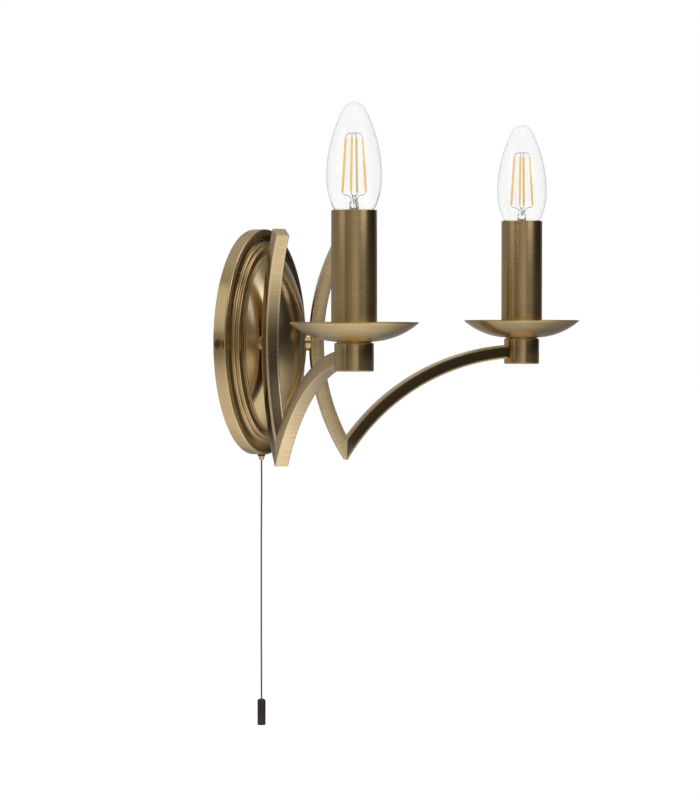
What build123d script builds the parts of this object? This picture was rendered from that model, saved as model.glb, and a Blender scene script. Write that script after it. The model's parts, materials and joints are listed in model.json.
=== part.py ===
from build123d import *
import math
import os

os.makedirs("parts", exist_ok=True)

# A two-arm wall light. Its origin is the centre of the fixing slots at the wall,
# +X to the viewer's right, -Y out of the wall and +Z up. All sizes are in mm.

# Backplate: a pressed oval dish with stepped rings and a domed middle
PLATE_HALF_WIDTH = 55.5
PLATE_HALF_HEIGHT = 78.5
PLATE_SHEET = 1.0
RIM_DEPTH = 9.5
RIM_EDGE = 1.2
RING_INSETS = (6.5, 10.8, 14.5)
RING_RISES = (2.1, 1.8, 2.1)
RING_EDGES = (1.0, 0.8, 0.9)
DOME_INSET = 17.7
DOME_RISE = 6.8

# Wall bracket, its fixings and the earth screw
STRAP_SHEET = 1.5
STRAP_HEIGHT = 24.0
STRAP_CORNER = 1.5
TONGUE_WIDTH = 22.0
TONGUE_TOP = 46.0
TAB_GAP = 0.9
TAB_HEIGHT = 13.0
TAB_REACH = 7.9
SLOT_SPACING = 64.0
SLOT_LENGTH = 12.0
SLOT_WIDTH = 4.6
CABLE_HOLE = 16.0
SIDE_SCREW_Z = -1.0
SIDE_SCREW_Y = 4.75
SCREW_DIAMETER = 4.0
SCREW_LENGTH = 7.0
SCREW_HEAD_DIAMETER = 7.6
SCREW_HEAD_HEIGHT = 2.2
CROSS_WIDTH = 1.0
CROSS_LENGTH = 4.4
CROSS_DEPTH = 1.0
HOLE_CLEARANCE = 0.2
EARTH_WASHER_DIAMETER = 9.0
EARTH_WASHER_SHEET = 0.8

# Terminal block on the bracket's tongue
BLOCK_WIDTH = 27.0
BLOCK_HEIGHT = 16.0
BLOCK_DEPTH = 10.0
BLOCK_CENTRE_Z = 35.0
BLOCK_PITCH = 9.0
BLOCK_EDGE = 1.2
WIRE_BORE = 3.2
CLAMP_SCREW_DIAMETER = 3.0
CLAMP_SCREW_LENGTH = 2.6
CLAMP_SCREW_SPACING = 9.0

# Arms: a square tube bent into a bow, mitred to a second that sweeps up to the cup
ARM_TURN = 38.5
ARM_OFFSET = 32.0
ARM_STANDOFF = 31.0
BAR = 9.5
BAR_WALL = 1.0
BAR_EDGE = 0.5
BOW_RADIUS = 147.0
BOW_TOP = 75.0
SWEEP_RADIUS = 152.0
CUP_REACH = 148.0
CUP_ENTRY_Z = -7.0
TIP_BLUNT = 1.3
BOW_LID = 1.5
HOLLOW_OVERRUN = 5.0

# What holds each arm on the plate
BOSS_DIAMETER = 12.4
STUD_DIAMETER = 8.0
STUD_BORE = 5.0
SEAT_DIAMETER = 14.0
SEAT_END = 16.5
NUT_THICKNESS = 4.0
NUT_ACROSS_FLATS = 13.0
STUD_SPARE = 1.5
DOME_HOLE_CLEARANCE = 0.3

# Cup, drip pan and the parts inside the candle tube
CUP_DIAMETER = 25.0
CUP_BOTTOM = -16.0
CUP_HEIGHT = 18.0
CUP_EDGE = 0.8
CUP_BORE_DEPTH = 13.0
CUP_WIRE_BORE = 6.0
NIPPLE_DIAMETER = 10.0
NIPPLE_BORE = 7.5
NIPPLE_ENTRY = 4.5
PAN_DIAMETER = 82.0
PAN_DEPTH = 11.9
PAN_FLAT = 9.0
PAN_SHEET = 1.0
PAN_FOOT_DIAMETER = 22.0
PAN_FOOT_HEIGHT = 0.6
PAN_NUT_THICKNESS = 3.0
PAN_NUT_ACROSS_FLATS = 14.0
TUBE_DIAMETER = 29.0
TUBE_SHEET = 1.0
TUBE_TOP = 85.5
HOLDER_DIAMETER = 24.0
HOLDER_TOP = 79.0
HOLDER_BASE = 6.0
HOLDER_CHAMBER = 18.0
HOLDER_FLOOR = 3.0
HOLDER_WELL = 28.0
HOLDER_RIM = 26.4
HOLDER_RIM_HEIGHT = 2.0
CONTACT_DIAMETER = 6.0
CONTACT_GAP = 0.15

# Candle lamp
CAP_DIAMETER = 13.6
CAP_CLEARANCE = 0.35
CAP_HEIGHT = 21.5
CAP_SHEET = 0.4
COLLAR_DIAMETER = 17.0
COLLAR_HEIGHT = 2.5
LAMP_REST_GAP = 0.3
LAMP_INSULATOR_HEIGHT = 3.0
LAMP_TIP_DIAMETER = 4.5
LAMP_TIP_HEIGHT = 1.4
GLASS_DIAMETER = 35.0
GLASS_SHEET = 0.7
GLASS_TOP = 153.5
GLASS_WIDEST_Z = 106.0
GLASS_LOWER_RADIUS = 46.0
GLASS_NOSE_RADIUS = 8.0
GLASS_NECK_TOP = 82.2
GLASS_FLARE_TOP = 84.5
STEM_DIAMETER = 6.0
STEM_FOOT = 1.0
STEM_TOP = 95.0
FILAMENT_COUNT = 4
FILAMENT_DIAMETER = 1.5
FILAMENT_BOTTOM = 97.0
FILAMENT_TOP = 131.0
FILAMENT_CIRCLE_BOTTOM = 15.4
FILAMENT_CIRCLE_TOP = 11.0
FILAMENT_TURN = 14.0
LEAD_DIAMETER = 0.6
LEAD_RING_LIFT = 3.0

# Pull switch at the foot of the plate
SWITCH_Y = 5.0
SWITCH_WIDTH = 20.0
SWITCH_THICKNESS = 8.0
SWITCH_BOTTOM = -68.0
SWITCH_TOP = -44.0
SWITCH_EDGE = 1.0
SWITCH_BORE = 6.6
SWITCH_FLOOR = 2.0
SWITCH_LID = 2.0
NECK_DIAMETER = 3.8
NECK_BORE = 2.4
NECK_REACH = 2.4
SHOULDER_DIAMETER = 7.0
PLUNGER_ROD = 1.5
PLUNGER_HEAD = 6.0
PLUNGER_HEAD_HEIGHT = 2.5
SPRING_WIRE = 0.5
SPRING_DIAMETER = 4.6
SPRING_LENGTH = 14.0
SPRING_TURNS = 5
GLAND_WASHER_DIAMETER = 5.4
GLAND_WASHER_SHEET = 0.8
GLAND_TOP_DIAMETER = 5.0
GLAND_MOUTH_DIAMETER = 3.1
GLAND_HEIGHT = 3.0
GLAND_BORE = 2.2
CORD_DIAMETER = 1.1
CORD_GAP = 0.35
TOGGLE_DIAMETER = 5.7
TOGGLE_LENGTH = 18.2
TOGGLE_CHAMFER = 0.9

# ---------------------------------------------------------------- shared places

SIDES = (("left", -1), ("right", 1))
TURN = math.radians(ARM_TURN)
ring_depths = [RIM_DEPTH + sum(RING_RISES[:count + 1]) for count in range(len(RING_RISES))]
wall_centre_plane = Plane.XZ


def arm_plane(side):
    """The upright plane of one arm: its x runs out along the arm and its y runs up."""
    out = Vector(side * math.sin(TURN), -math.cos(TURN), 0)
    return Plane(origin=(side * ARM_OFFSET, -ARM_STANDOFF, 0), x_dir=out, z_dir=out.cross(Vector(0, 0, 1)))


def boss_plane(side):
    """The plane on the back face of the bow, facing the plate."""
    plane = arm_plane(side)
    return Plane(origin=plane.origin - plane.x_dir * (BAR / 2), x_dir=plane.z_dir, z_dir=plane.x_dir * -1)


def cup_plane(side, height):
    """A level plane across the cup's axis."""
    plane = arm_plane(side)
    centre = plane.origin + plane.x_dir * CUP_REACH
    return Plane(origin=(centre.X, centre.Y, height), x_dir=plane.x_dir, z_dir=(0, 0, 1))


def oval_block(inset, depth, edge):
    """An upright oval slab from the wall to the depth, its front edge rounded."""
    with BuildPart() as block:
        with BuildSketch(wall_centre_plane):
            Ellipse(PLATE_HALF_WIDTH - inset, PLATE_HALF_HEIGHT - inset)
        extrude(amount=depth)
        if edge:
            fillet(block.edges().group_by(Axis.Y)[0], radius=edge)
    return block.part


def plate_form(sheet):
    """The plate's stepped and domed form, drawn inside its outer face by the sheet."""
    with BuildPart() as dome:
        with BuildSketch(Plane.XY):
            with BuildLine():
                reach = PLATE_HALF_HEIGHT - DOME_INSET - sheet
                base = -(ring_depths[-1] - sheet)
                curve = EllipticalCenterArc((0, base), reach, DOME_RISE, start_angle=270, arc_size=90)
                Polyline(curve @ 1, (0, base), curve @ 0)
            make_face()
        revolve(axis=Axis.Y)
        scale(by=((PLATE_HALF_WIDTH - DOME_INSET - sheet) / reach, 1, 1))
    with BuildPart() as form:
        add(oval_block(sheet, RIM_DEPTH - sheet, max(RIM_EDGE - sheet, 0)))
        for inset, depth, edge in zip(RING_INSETS, ring_depths, RING_EDGES):
            add(oval_block(inset + sheet, depth - sheet, max(edge - sheet, 0)))
        add(dome.part)
    return form.part


plate_outside = plate_form(0)
plate_inside = plate_form(PLATE_SHEET)

# The arm's two arcs meet in a V: the sweep's arc ends level over the cup's axis
bow_centre = Vector(BOW_RADIUS, 0)
sweep_centre = Vector(CUP_REACH, CUP_ENTRY_Z - SWEEP_RADIUS)


def crossing(bow_radius, sweep_radius):
    """Where an arc about the bow's centre meets one about the sweep's centre, near the tip."""
    between = sweep_centre - bow_centre
    gap = between.length
    along = (bow_radius ** 2 - sweep_radius ** 2 + gap ** 2) / (2 * gap)
    across = math.sqrt(bow_radius ** 2 - along ** 2)
    forward = between.normalized()
    return bow_centre + forward * along + Vector(forward.Y, -forward.X) * across


def on_arc(centre, radius, degrees):
    """The point of an arc at an angle from the arm's own +x."""
    angle = math.radians(degrees)
    return centre + Vector(math.cos(angle), math.sin(angle)) * radius


def angle_of(centre, point):
    """The angle of a point about a centre, from 0 to 360 degrees."""
    return math.degrees(math.atan2(point.Y - centre.Y, point.X - centre.X)) % 360


def bent_bar(plane, centre, wall, outer_ends, inner_ends):
    """A bent bar seen from its side: two arcs about one centre and two straight ends."""
    start_outer, end_outer = outer_ends
    start_inner, end_inner = inner_ends
    outer = (start_outer - centre).length
    inner = (start_inner - centre).length
    middle_outer = (angle_of(centre, start_outer) + angle_of(centre, end_outer)) / 2
    middle_inner = (angle_of(centre, start_inner) + angle_of(centre, end_inner)) / 2
    with BuildSketch(plane) as side_view:
        with BuildLine():
            ThreePointArc(start_outer, on_arc(centre, outer, middle_outer), end_outer)
            Line(end_outer, end_inner)
            ThreePointArc(end_inner, on_arc(centre, inner, middle_inner), start_inner)
            Line(start_inner, start_outer)
        make_face()
    extrude(side_view.sketch, amount=BAR / 2 - wall, both=True, mode=Mode.SUBTRACT if wall else Mode.ADD)


def ease_long_edges(bar):
    """Ease the four long edges of a bent bar."""
    chamfer(bar.edges().filter_by(GeomType.CIRCLE), length=BAR_EDGE)


def blunt_tip(plane):
    """Grind the sharp point of the V square to its mitre."""
    across = (fork - tip).normalized()
    direction = plane.x_dir * across.X + plane.y_dir * across.Y
    corner = plane.origin + plane.x_dir * tip.X + plane.y_dir * tip.Y
    with BuildSketch(Plane(origin=corner, x_dir=plane.z_dir, z_dir=direction)) as ground:
        Rectangle(2 * BAR, 2 * BAR)
    extrude(ground.sketch, amount=TIP_BLUNT, mode=Mode.SUBTRACT)


tip = crossing(BOW_RADIUS + BAR / 2, SWEEP_RADIUS - BAR / 2)
fork = crossing(BOW_RADIUS - BAR / 2, SWEEP_RADIUS + BAR / 2)
print("tip", tip, "fork", fork)


# ---------------------------------------------------------------- backplate group

with BuildPart() as backplate:
    add(plate_outside)
    add(plate_inside, mode=Mode.SUBTRACT)
    for side_name, side in SIDES:
        with BuildSketch(boss_plane(side)):
            Circle(STUD_DIAMETER / 2 + DOME_HOLE_CLEARANCE)
        extrude(amount=SEAT_END, mode=Mode.SUBTRACT)
    with BuildSketch(Plane.YZ):
        with Locations((-SIDE_SCREW_Y, SIDE_SCREW_Z)):
            Circle(SCREW_DIAMETER / 2 + HOLE_CLEARANCE)
    extrude(amount=PLATE_HALF_WIDTH + 1, both=True, mode=Mode.SUBTRACT)
    with BuildSketch(Plane.XY):
        with Locations((0, -SWITCH_Y)):
            Circle(NECK_DIAMETER / 2 + HOLE_CLEARANCE)
    extrude(amount=-PLATE_HALF_HEIGHT - 1, mode=Mode.SUBTRACT)
backplate.part.label = "backplate"
export_step(backplate.part, "parts/backplate.step")

tab_outer = PLATE_HALF_WIDTH - PLATE_SHEET - TAB_GAP
# The earth screw stands midway between the cable hole and the terminal block
earth_z = (CABLE_HOLE / 2 + BLOCK_CENTRE_Z - BLOCK_HEIGHT / 2) / 2
with BuildPart() as wall_bracket:
    with BuildSketch(wall_centre_plane):
        Rectangle(2 * tab_outer, STRAP_HEIGHT)
        with Locations((0, TONGUE_TOP / 2)):
            Rectangle(TONGUE_WIDTH, TONGUE_TOP)
        Circle(CABLE_HOLE / 2, mode=Mode.SUBTRACT)
        with Locations((-SLOT_SPACING / 2, 0), (SLOT_SPACING / 2, 0)):
            SlotOverall(SLOT_LENGTH, SLOT_WIDTH, mode=Mode.SUBTRACT)
        with Locations((0, earth_z)):
            Circle(SCREW_DIAMETER / 2, mode=Mode.SUBTRACT)
    extrude(amount=STRAP_SHEET)
    for side_name, side in SIDES:
        with BuildSketch(Plane.YZ.offset(side * tab_outer)):
            with Locations((-TAB_REACH / 2, 0)):
                Rectangle(TAB_REACH, TAB_HEIGHT)
            with Locations((-SIDE_SCREW_Y, SIDE_SCREW_Z)):
                Circle(SCREW_DIAMETER / 2, mode=Mode.SUBTRACT)
        extrude(amount=-side * STRAP_SHEET)
    fillet(wall_bracket.edges().filter_by(Axis.Y).group_by(Axis.Z)[-1], radius=STRAP_CORNER)
wall_bracket.part.label = "wall_bracket"
export_step(wall_bracket.part, "parts/wall_bracket.step")


def raised_screw(seat, shank_length):
    """Add a raised-head cross screw whose head stands on the seat plane."""
    shank = SCREW_DIAMETER / 2
    head = SCREW_HEAD_DIAMETER / 2
    flank = SCREW_HEAD_HEIGHT * 0.35
    shoulder = (head * 0.64, SCREW_HEAD_HEIGHT * 0.85)
    with BuildSketch(Plane(origin=seat.origin, x_dir=seat.x_dir, z_dir=seat.y_dir * -1)) as profile:
        with BuildLine():
            Polyline((0, SCREW_HEAD_HEIGHT), (0, -shank_length), (shank, -shank_length), (shank, 0))
            Polyline((shank, 0), (head, 0), (head, flank))
            ThreePointArc((head, flank), shoulder, (0, SCREW_HEAD_HEIGHT))
        make_face()
    revolve(profile.sketch, axis=Axis(seat.origin, seat.z_dir))
    with BuildSketch(seat.offset(SCREW_HEAD_HEIGHT - CROSS_DEPTH)) as cross:
        Rectangle(CROSS_LENGTH, CROSS_WIDTH)
        Rectangle(CROSS_WIDTH, CROSS_LENGTH)
    extrude(cross.sketch, amount=CROSS_DEPTH + 1, mode=Mode.SUBTRACT)


with BuildPart() as side_screws:
    for side_name, side in SIDES:
        side_seat = (side * PLATE_HALF_WIDTH, -SIDE_SCREW_Y, SIDE_SCREW_Z)
        raised_screw(Plane(origin=side_seat, x_dir=(0, 1, 0), z_dir=(side, 0, 0)), SCREW_LENGTH)
side_screws.part.label = "side_screws"
export_step(side_screws.part, "parts/side_screws.step")

earth_plane = Plane(origin=(0, -STRAP_SHEET, earth_z), x_dir=(1, 0, 0), z_dir=(0, -1, 0))
with BuildPart() as earth_washer:
    with BuildSketch(earth_plane):
        Circle(EARTH_WASHER_DIAMETER / 2)
        Circle(SCREW_DIAMETER / 2, mode=Mode.SUBTRACT)
    extrude(amount=EARTH_WASHER_SHEET)
earth_washer.part.label = "earth_washer"
export_step(earth_washer.part, "parts/earth_washer.step")

with BuildPart() as earth_screw:
    raised_screw(earth_plane.offset(EARTH_WASHER_SHEET), STRAP_SHEET + EARTH_WASHER_SHEET)
earth_screw.part.label = "earth_screw"
export_step(earth_screw.part, "parts/earth_screw.step")

block_front = STRAP_SHEET + BLOCK_DEPTH
ways = [(column * BLOCK_PITCH, 0) for column in (-1, 0, 1)]
with BuildPart() as terminal_block:
    with BuildSketch(wall_centre_plane.offset(STRAP_SHEET)):
        with Locations((0, BLOCK_CENTRE_Z)):
            Rectangle(BLOCK_WIDTH, BLOCK_HEIGHT)
    extrude(amount=BLOCK_DEPTH)
    fillet(terminal_block.edges().filter_by(Axis.Y), radius=BLOCK_EDGE)
    with BuildSketch(Plane.XY.offset(BLOCK_CENTRE_Z)):
        with Locations((0, -STRAP_SHEET - BLOCK_DEPTH / 2)):
            with Locations(*ways):
                Circle(WIRE_BORE / 2)
    extrude(amount=BLOCK_HEIGHT, both=True, mode=Mode.SUBTRACT)
    with BuildSketch(wall_centre_plane.offset(block_front - CLAMP_SCREW_LENGTH)):
        with Locations((0, BLOCK_CENTRE_Z)):
            with GridLocations(BLOCK_PITCH, CLAMP_SCREW_SPACING, len(ways), 2):
                Circle(CLAMP_SCREW_DIAMETER / 2)
    extrude(amount=CLAMP_SCREW_LENGTH, mode=Mode.SUBTRACT)
terminal_block.part.label = "terminal_block"
export_step(terminal_block.part, "parts/terminal_block.step")

with BuildPart() as clamp_screws:
    with BuildSketch(wall_centre_plane.offset(block_front - CLAMP_SCREW_LENGTH)):
        with Locations((0, BLOCK_CENTRE_Z)):
            with GridLocations(BLOCK_PITCH, CLAMP_SCREW_SPACING, len(ways), 2):
                Circle(CLAMP_SCREW_DIAMETER / 2)
    extrude(amount=CLAMP_SCREW_LENGTH)
clamp_screws.part.label = "clamp_screws"
export_step(clamp_screws.part, "parts/clamp_screws.step")

# ---------------------------------------------------------------- pull switch

switch_axis = (0, -SWITCH_Y)
plate_foot = -PLATE_HALF_HEIGHT
gland_mouth = plate_foot - GLAND_WASHER_SHEET - GLAND_HEIGHT
lid_underside = SWITCH_TOP - SWITCH_LID
cavity_floor = SWITCH_BOTTOM + SWITCH_FLOOR
head_underside = cavity_floor + SPRING_LENGTH


def turned(section, bottom, top, centre=switch_axis):
    """Add an upright round bar of this diameter between two heights."""
    with BuildSketch(Plane.XY.offset(bottom)) as disc:
        with Locations(centre):
            Circle(section / 2)
    extrude(disc.sketch, amount=top - bottom)


def bored(section, bottom, top, centre=switch_axis):
    """Cut an upright round hole of this diameter between two heights."""
    with BuildSketch(Plane.XY.offset(bottom)) as disc:
        with Locations(centre):
            Circle(section / 2)
    extrude(disc.sketch, amount=top - bottom, mode=Mode.SUBTRACT)


with BuildPart() as switch_housing:
    turned(SHOULDER_DIAMETER, plate_foot, SWITCH_BOTTOM)
    add(plate_inside, mode=Mode.INTERSECT)
    with BuildSketch(Plane.XY.offset(SWITCH_BOTTOM)):
        with Locations(switch_axis):
            RectangleRounded(SWITCH_WIDTH, SWITCH_THICKNESS, SWITCH_EDGE)
    extrude(amount=lid_underside - SWITCH_BOTTOM)
    turned(NECK_DIAMETER, plate_foot - NECK_REACH, SWITCH_BOTTOM)
    bored(SWITCH_BORE, cavity_floor, lid_underside)
    bored(NECK_BORE, plate_foot - NECK_REACH, cavity_floor)
switch_housing.part.label = "switch_housing"
export_step(switch_housing.part, "parts/switch_housing.step")

with BuildPart() as switch_lid:
    with BuildSketch(Plane.XY.offset(lid_underside)):
        with Locations(switch_axis):
            RectangleRounded(SWITCH_WIDTH, SWITCH_THICKNESS, SWITCH_EDGE)
    extrude(amount=SWITCH_LID)
switch_lid.part.label = "switch_lid"
export_step(switch_lid.part, "parts/switch_lid.step")

with BuildPart() as switch_plunger:
    turned(PLUNGER_HEAD, head_underside, head_underside + PLUNGER_HEAD_HEIGHT)
    turned(PLUNGER_ROD, gland_mouth + CORD_GAP, head_underside)
switch_plunger.part.label = "switch_plunger"
export_step(switch_plunger.part, "parts/switch_plunger.step")


def spring_route(radius, bottom, height, turns):
    """Biarcs, two to each quarter turn, that keep a coil's centre line smooth."""
    pitch = height / turns
    steps = 4 * turns
    flat = 2 * math.pi * radius

    def place(step):
        angle = step * math.pi / 2
        across, along = radius * math.cos(angle), radius * math.sin(angle)
        return Vector(across, along - SWITCH_Y, bottom + height * step / steps)

    def heading(step):
        angle = step * math.pi / 2
        return Vector(-math.sin(angle) * flat, math.cos(angle) * flat, pitch).normalized()

    with BuildLine() as route:
        for step in range(steps):
            start, end = place(step), place(step + 1)
            leaving, arriving = heading(step), heading(step + 1)
            chord = end - start
            both = leaving + arriving
            spread = 2 * (1 - leaving.dot(arriving))
            reach = (math.sqrt(chord.dot(both) ** 2 + spread * chord.dot(chord)) - chord.dot(both)) / spread
            middle = (start + end + (leaving - arriving) * reach) / 2
            TangentArc(start, middle, tangent=leaving)
            TangentArc(middle, end, tangent=middle - (start + leaving * reach))
    return route


coil_radius = (SPRING_DIAMETER - SPRING_WIRE) / 2
with BuildPart() as switch_spring:
    coil_foot = cavity_floor + SPRING_WIRE / 2
    route = spring_route(coil_radius, coil_foot, SPRING_LENGTH - SPRING_WIRE, SPRING_TURNS)
    with BuildSketch(Plane(origin=route.line @ 0, z_dir=route.line % 0)) as wire:
        Circle(SPRING_WIRE / 2)
    sweep(wire.sketch, path=route.line)
switch_spring.part.label = "switch_spring"
export_step(switch_spring.part, "parts/switch_spring.step")

with BuildPart() as gland_washer:
    turned(GLAND_WASHER_DIAMETER, plate_foot - GLAND_WASHER_SHEET, plate_foot)
    bored(NECK_DIAMETER, plate_foot - GLAND_WASHER_SHEET, plate_foot)
gland_washer.part.label = "gland_washer"
export_step(gland_washer.part, "parts/gland_washer.step")

cone_top = plate_foot - GLAND_WASHER_SHEET
with BuildPart() as cord_gland:
    with BuildSketch(Plane.XY.offset(cone_top)):
        with Locations(switch_axis):
            Circle(GLAND_TOP_DIAMETER / 2)
    with BuildSketch(Plane.XY.offset(gland_mouth)):
        with Locations(switch_axis):
            Circle(GLAND_MOUTH_DIAMETER / 2)
    loft()
    bored(NECK_DIAMETER, plate_foot - NECK_REACH, cone_top)
    bored(GLAND_BORE, gland_mouth, cone_top)
cord_gland.part.label = "cord_gland"
export_step(cord_gland.part, "parts/cord_gland.step")

# The cord hangs almost straight, with the slight set that its fold in the box left in it
cord_points = [
    Vector(0.0, -SWITCH_Y, gland_mouth),
    Vector(0.3, -SWITCH_Y, -98.0),
    Vector(-0.7, -SWITCH_Y - 0.2, -126.0),
    Vector(-1.0, -SWITCH_Y - 0.3, -168.0),
    Vector(-0.9, -SWITCH_Y - 0.2, -210.0),
    Vector(-0.4, -SWITCH_Y, -250.0),
]


def bend_radii(points):
    """The arc at each bend, as large as the shorter of its two runs allows."""
    radii = []
    for before, corner, after in zip(points, points[1:], points[2:]):
        arriving, leaving = corner - before, after - corner
        half_turn = math.radians(arriving.get_angle(leaving)) / 2
        radii.append(0.45 * min(arriving.length, leaving.length) / math.tan(half_turn))
    return radii


cord_radii = bend_radii(cord_points)
print("cord bend radii", [round(radius, 1) for radius in cord_radii])
with BuildPart() as pull_cord:
    with BuildLine() as cord_route:
        FilletPolyline(*cord_points, radius=cord_radii)
    with BuildSketch(Plane(origin=cord_route.line @ 0, z_dir=cord_route.line % 0)) as cord_section:
        Circle(CORD_DIAMETER / 2)
    sweep(cord_section.sketch, path=cord_route.line)
cord_length = sum(edge.length for edge in cord_route.edges())
cord_volume = math.pi * CORD_DIAMETER ** 2 / 4 * cord_length
print("cord volume", round(pull_cord.part.volume, 3), "against section times length", round(cord_volume, 3))
pull_cord.part.label = "pull_cord"
export_step(pull_cord.part, "parts/pull_cord.step")

cord_end = cord_points[-1]
with BuildPart() as pull_toggle:
    turned(TOGGLE_DIAMETER, cord_end.Z - TOGGLE_LENGTH, cord_end.Z, (cord_end.X, cord_end.Y))
    chamfer(pull_toggle.edges().group_by(Axis.Z)[-1], length=TOGGLE_CHAMFER)
    fillet(pull_toggle.edges().group_by(Axis.Z)[0], radius=TOGGLE_CHAMFER / 2)
pull_toggle.part.label = "pull_toggle"
export_step(pull_toggle.part, "parts/pull_toggle.step")

# ---------------------------------------------------------------- arms


def hexagon_nut(plane, across_flats, bore, bottom, thickness):
    """Add a hexagonal nut standing on a plane offset by its bottom."""
    with BuildSketch(plane.offset(bottom)) as outline:
        RegularPolygon(across_flats / 2, 6, major_radius=False)
        Circle(bore / 2, mode=Mode.SUBTRACT)
    extrude(outline.sketch, amount=thickness)


stud_end = SEAT_END + NUT_THICKNESS + STUD_SPARE
top_angle = 180 - math.degrees(math.asin(BOW_TOP / BOW_RADIUS))
lid_angle = 180 - math.degrees(math.asin((BOW_TOP - BOW_LID) / BOW_RADIUS))


def band(centre, radius, wall, start_angle, end_angle):
    """The corners of a bar's side view between two angles, drawn inside its faces by the wall."""
    outer = radius + BAR / 2 - wall
    inner = radius - BAR / 2 + wall
    return (
        (on_arc(centre, outer, start_angle), on_arc(centre, outer, end_angle)),
        (on_arc(centre, inner, start_angle), on_arc(centre, inner, end_angle)),
    )


for side_name, side in SIDES:
    plane = arm_plane(side)
    back = boss_plane(side)

    with BuildPart() as bow:
        outer_ends, inner_ends = band(bow_centre, BOW_RADIUS, 0, top_angle, angle_of(bow_centre, tip))
        bent_bar(plane, bow_centre, 0, (outer_ends[0], tip), (inner_ends[0], fork))
        ease_long_edges(bow)
        past_mitre = angle_of(bow_centre, tip) + HOLLOW_OVERRUN
        hollow = band(bow_centre, BOW_RADIUS, BAR_WALL, lid_angle, past_mitre)
        bent_bar(plane, bow_centre, BAR_WALL, *hollow)
        blunt_tip(plane)
        with BuildSketch(back.offset(-BAR / 2)):
            Circle(STUD_DIAMETER / 2)
        extrude(amount=BAR, mode=Mode.SUBTRACT)
    bow.part.label = f"{side_name}_bow"
    export_step(bow.part, f"parts/{side_name}_bow.step")

    with BuildPart() as sweep_tube:
        outer_ends, inner_ends = band(sweep_centre, SWEEP_RADIUS, 0, angle_of(sweep_centre, fork), 90)
        bent_bar(plane, sweep_centre, 0, (fork, outer_ends[1]), (tip, inner_ends[1]))
        ease_long_edges(sweep_tube)
        past_mitre = angle_of(sweep_centre, tip) + HOLLOW_OVERRUN
        hollow = band(sweep_centre, SWEEP_RADIUS, BAR_WALL, past_mitre, 90)
        bent_bar(plane, sweep_centre, BAR_WALL, *hollow)
        blunt_tip(plane)
        with BuildSketch(cup_plane(side, CUP_BOTTOM)):
            Circle(CUP_DIAMETER / 2)
        extrude(amount=CUP_HEIGHT, mode=Mode.SUBTRACT)
    sweep_tube.part.label = f"{side_name}_sweep"
    export_step(sweep_tube.part, f"parts/{side_name}_sweep.step")

    with BuildPart() as boss:
        with BuildSketch(back):
            Circle(BOSS_DIAMETER / 2)
            Circle(STUD_DIAMETER / 2, mode=Mode.SUBTRACT)
        extrude(amount=SEAT_END)
        add(plate_outside, mode=Mode.SUBTRACT)
    boss.part.label = f"{side_name}_boss"
    export_step(boss.part, f"parts/{side_name}_boss.step")

    with BuildPart() as stud:
        with BuildSketch(back.offset(-BAR_WALL)):
            Circle(STUD_DIAMETER / 2)
            Circle(STUD_BORE / 2, mode=Mode.SUBTRACT)
        extrude(amount=stud_end + BAR_WALL)
    stud.part.label = f"{side_name}_stud"
    export_step(stud.part, f"parts/{side_name}_stud.step")

    with BuildPart() as stud_seat:
        with BuildSketch(back):
            Circle(SEAT_DIAMETER / 2)
            Circle(STUD_DIAMETER / 2, mode=Mode.SUBTRACT)
        extrude(amount=SEAT_END)
        add(plate_inside, mode=Mode.INTERSECT)
    stud_seat.part.label = f"{side_name}_stud_seat"
    export_step(stud_seat.part, f"parts/{side_name}_stud_seat.step")

    with BuildPart() as stud_nut:
        with BuildSketch(back.offset(SEAT_END)):
            RegularPolygon(NUT_ACROSS_FLATS / 2, 6, major_radius=False)
            Circle(STUD_DIAMETER / 2, mode=Mode.SUBTRACT)
        extrude(amount=NUT_THICKNESS)
    stud_nut.part.label = f"{side_name}_stud_nut"
    export_step(stud_nut.part, f"parts/{side_name}_stud_nut.step")

# ---------------------------------------------------------------- cups, pans and candle tubes

cup_top = CUP_BOTTOM + CUP_HEIGHT
pan_underside = cup_top + PAN_FOOT_HEIGHT
pan_inside = pan_underside + PAN_SHEET
pan_rim = pan_underside + PAN_DEPTH
pan_run = PAN_DIAMETER / 2 - PAN_FLAT
pan_radius = (pan_run ** 2 + PAN_DEPTH ** 2) / (2 * PAN_DEPTH)
pan_nut_top = pan_inside + PAN_NUT_THICKNESS
base_top = pan_nut_top + HOLDER_BASE
well_floor = HOLDER_TOP - HOLDER_WELL
collar_underside = HOLDER_TOP + LAMP_REST_GAP
glass_foot = collar_underside + CAP_SHEET
cap_end = collar_underside - CAP_HEIGHT
lamp_tip_top = cap_end - LAMP_INSULATOR_HEIGHT
lamp_tip_end = lamp_tip_top - LAMP_TIP_HEIGHT


def pan_height(reach, radius):
    """How high the pan's curve stands at this distance from its axis."""
    return pan_underside + pan_radius - math.sqrt(radius ** 2 - (reach - PAN_FLAT) ** 2)


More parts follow.
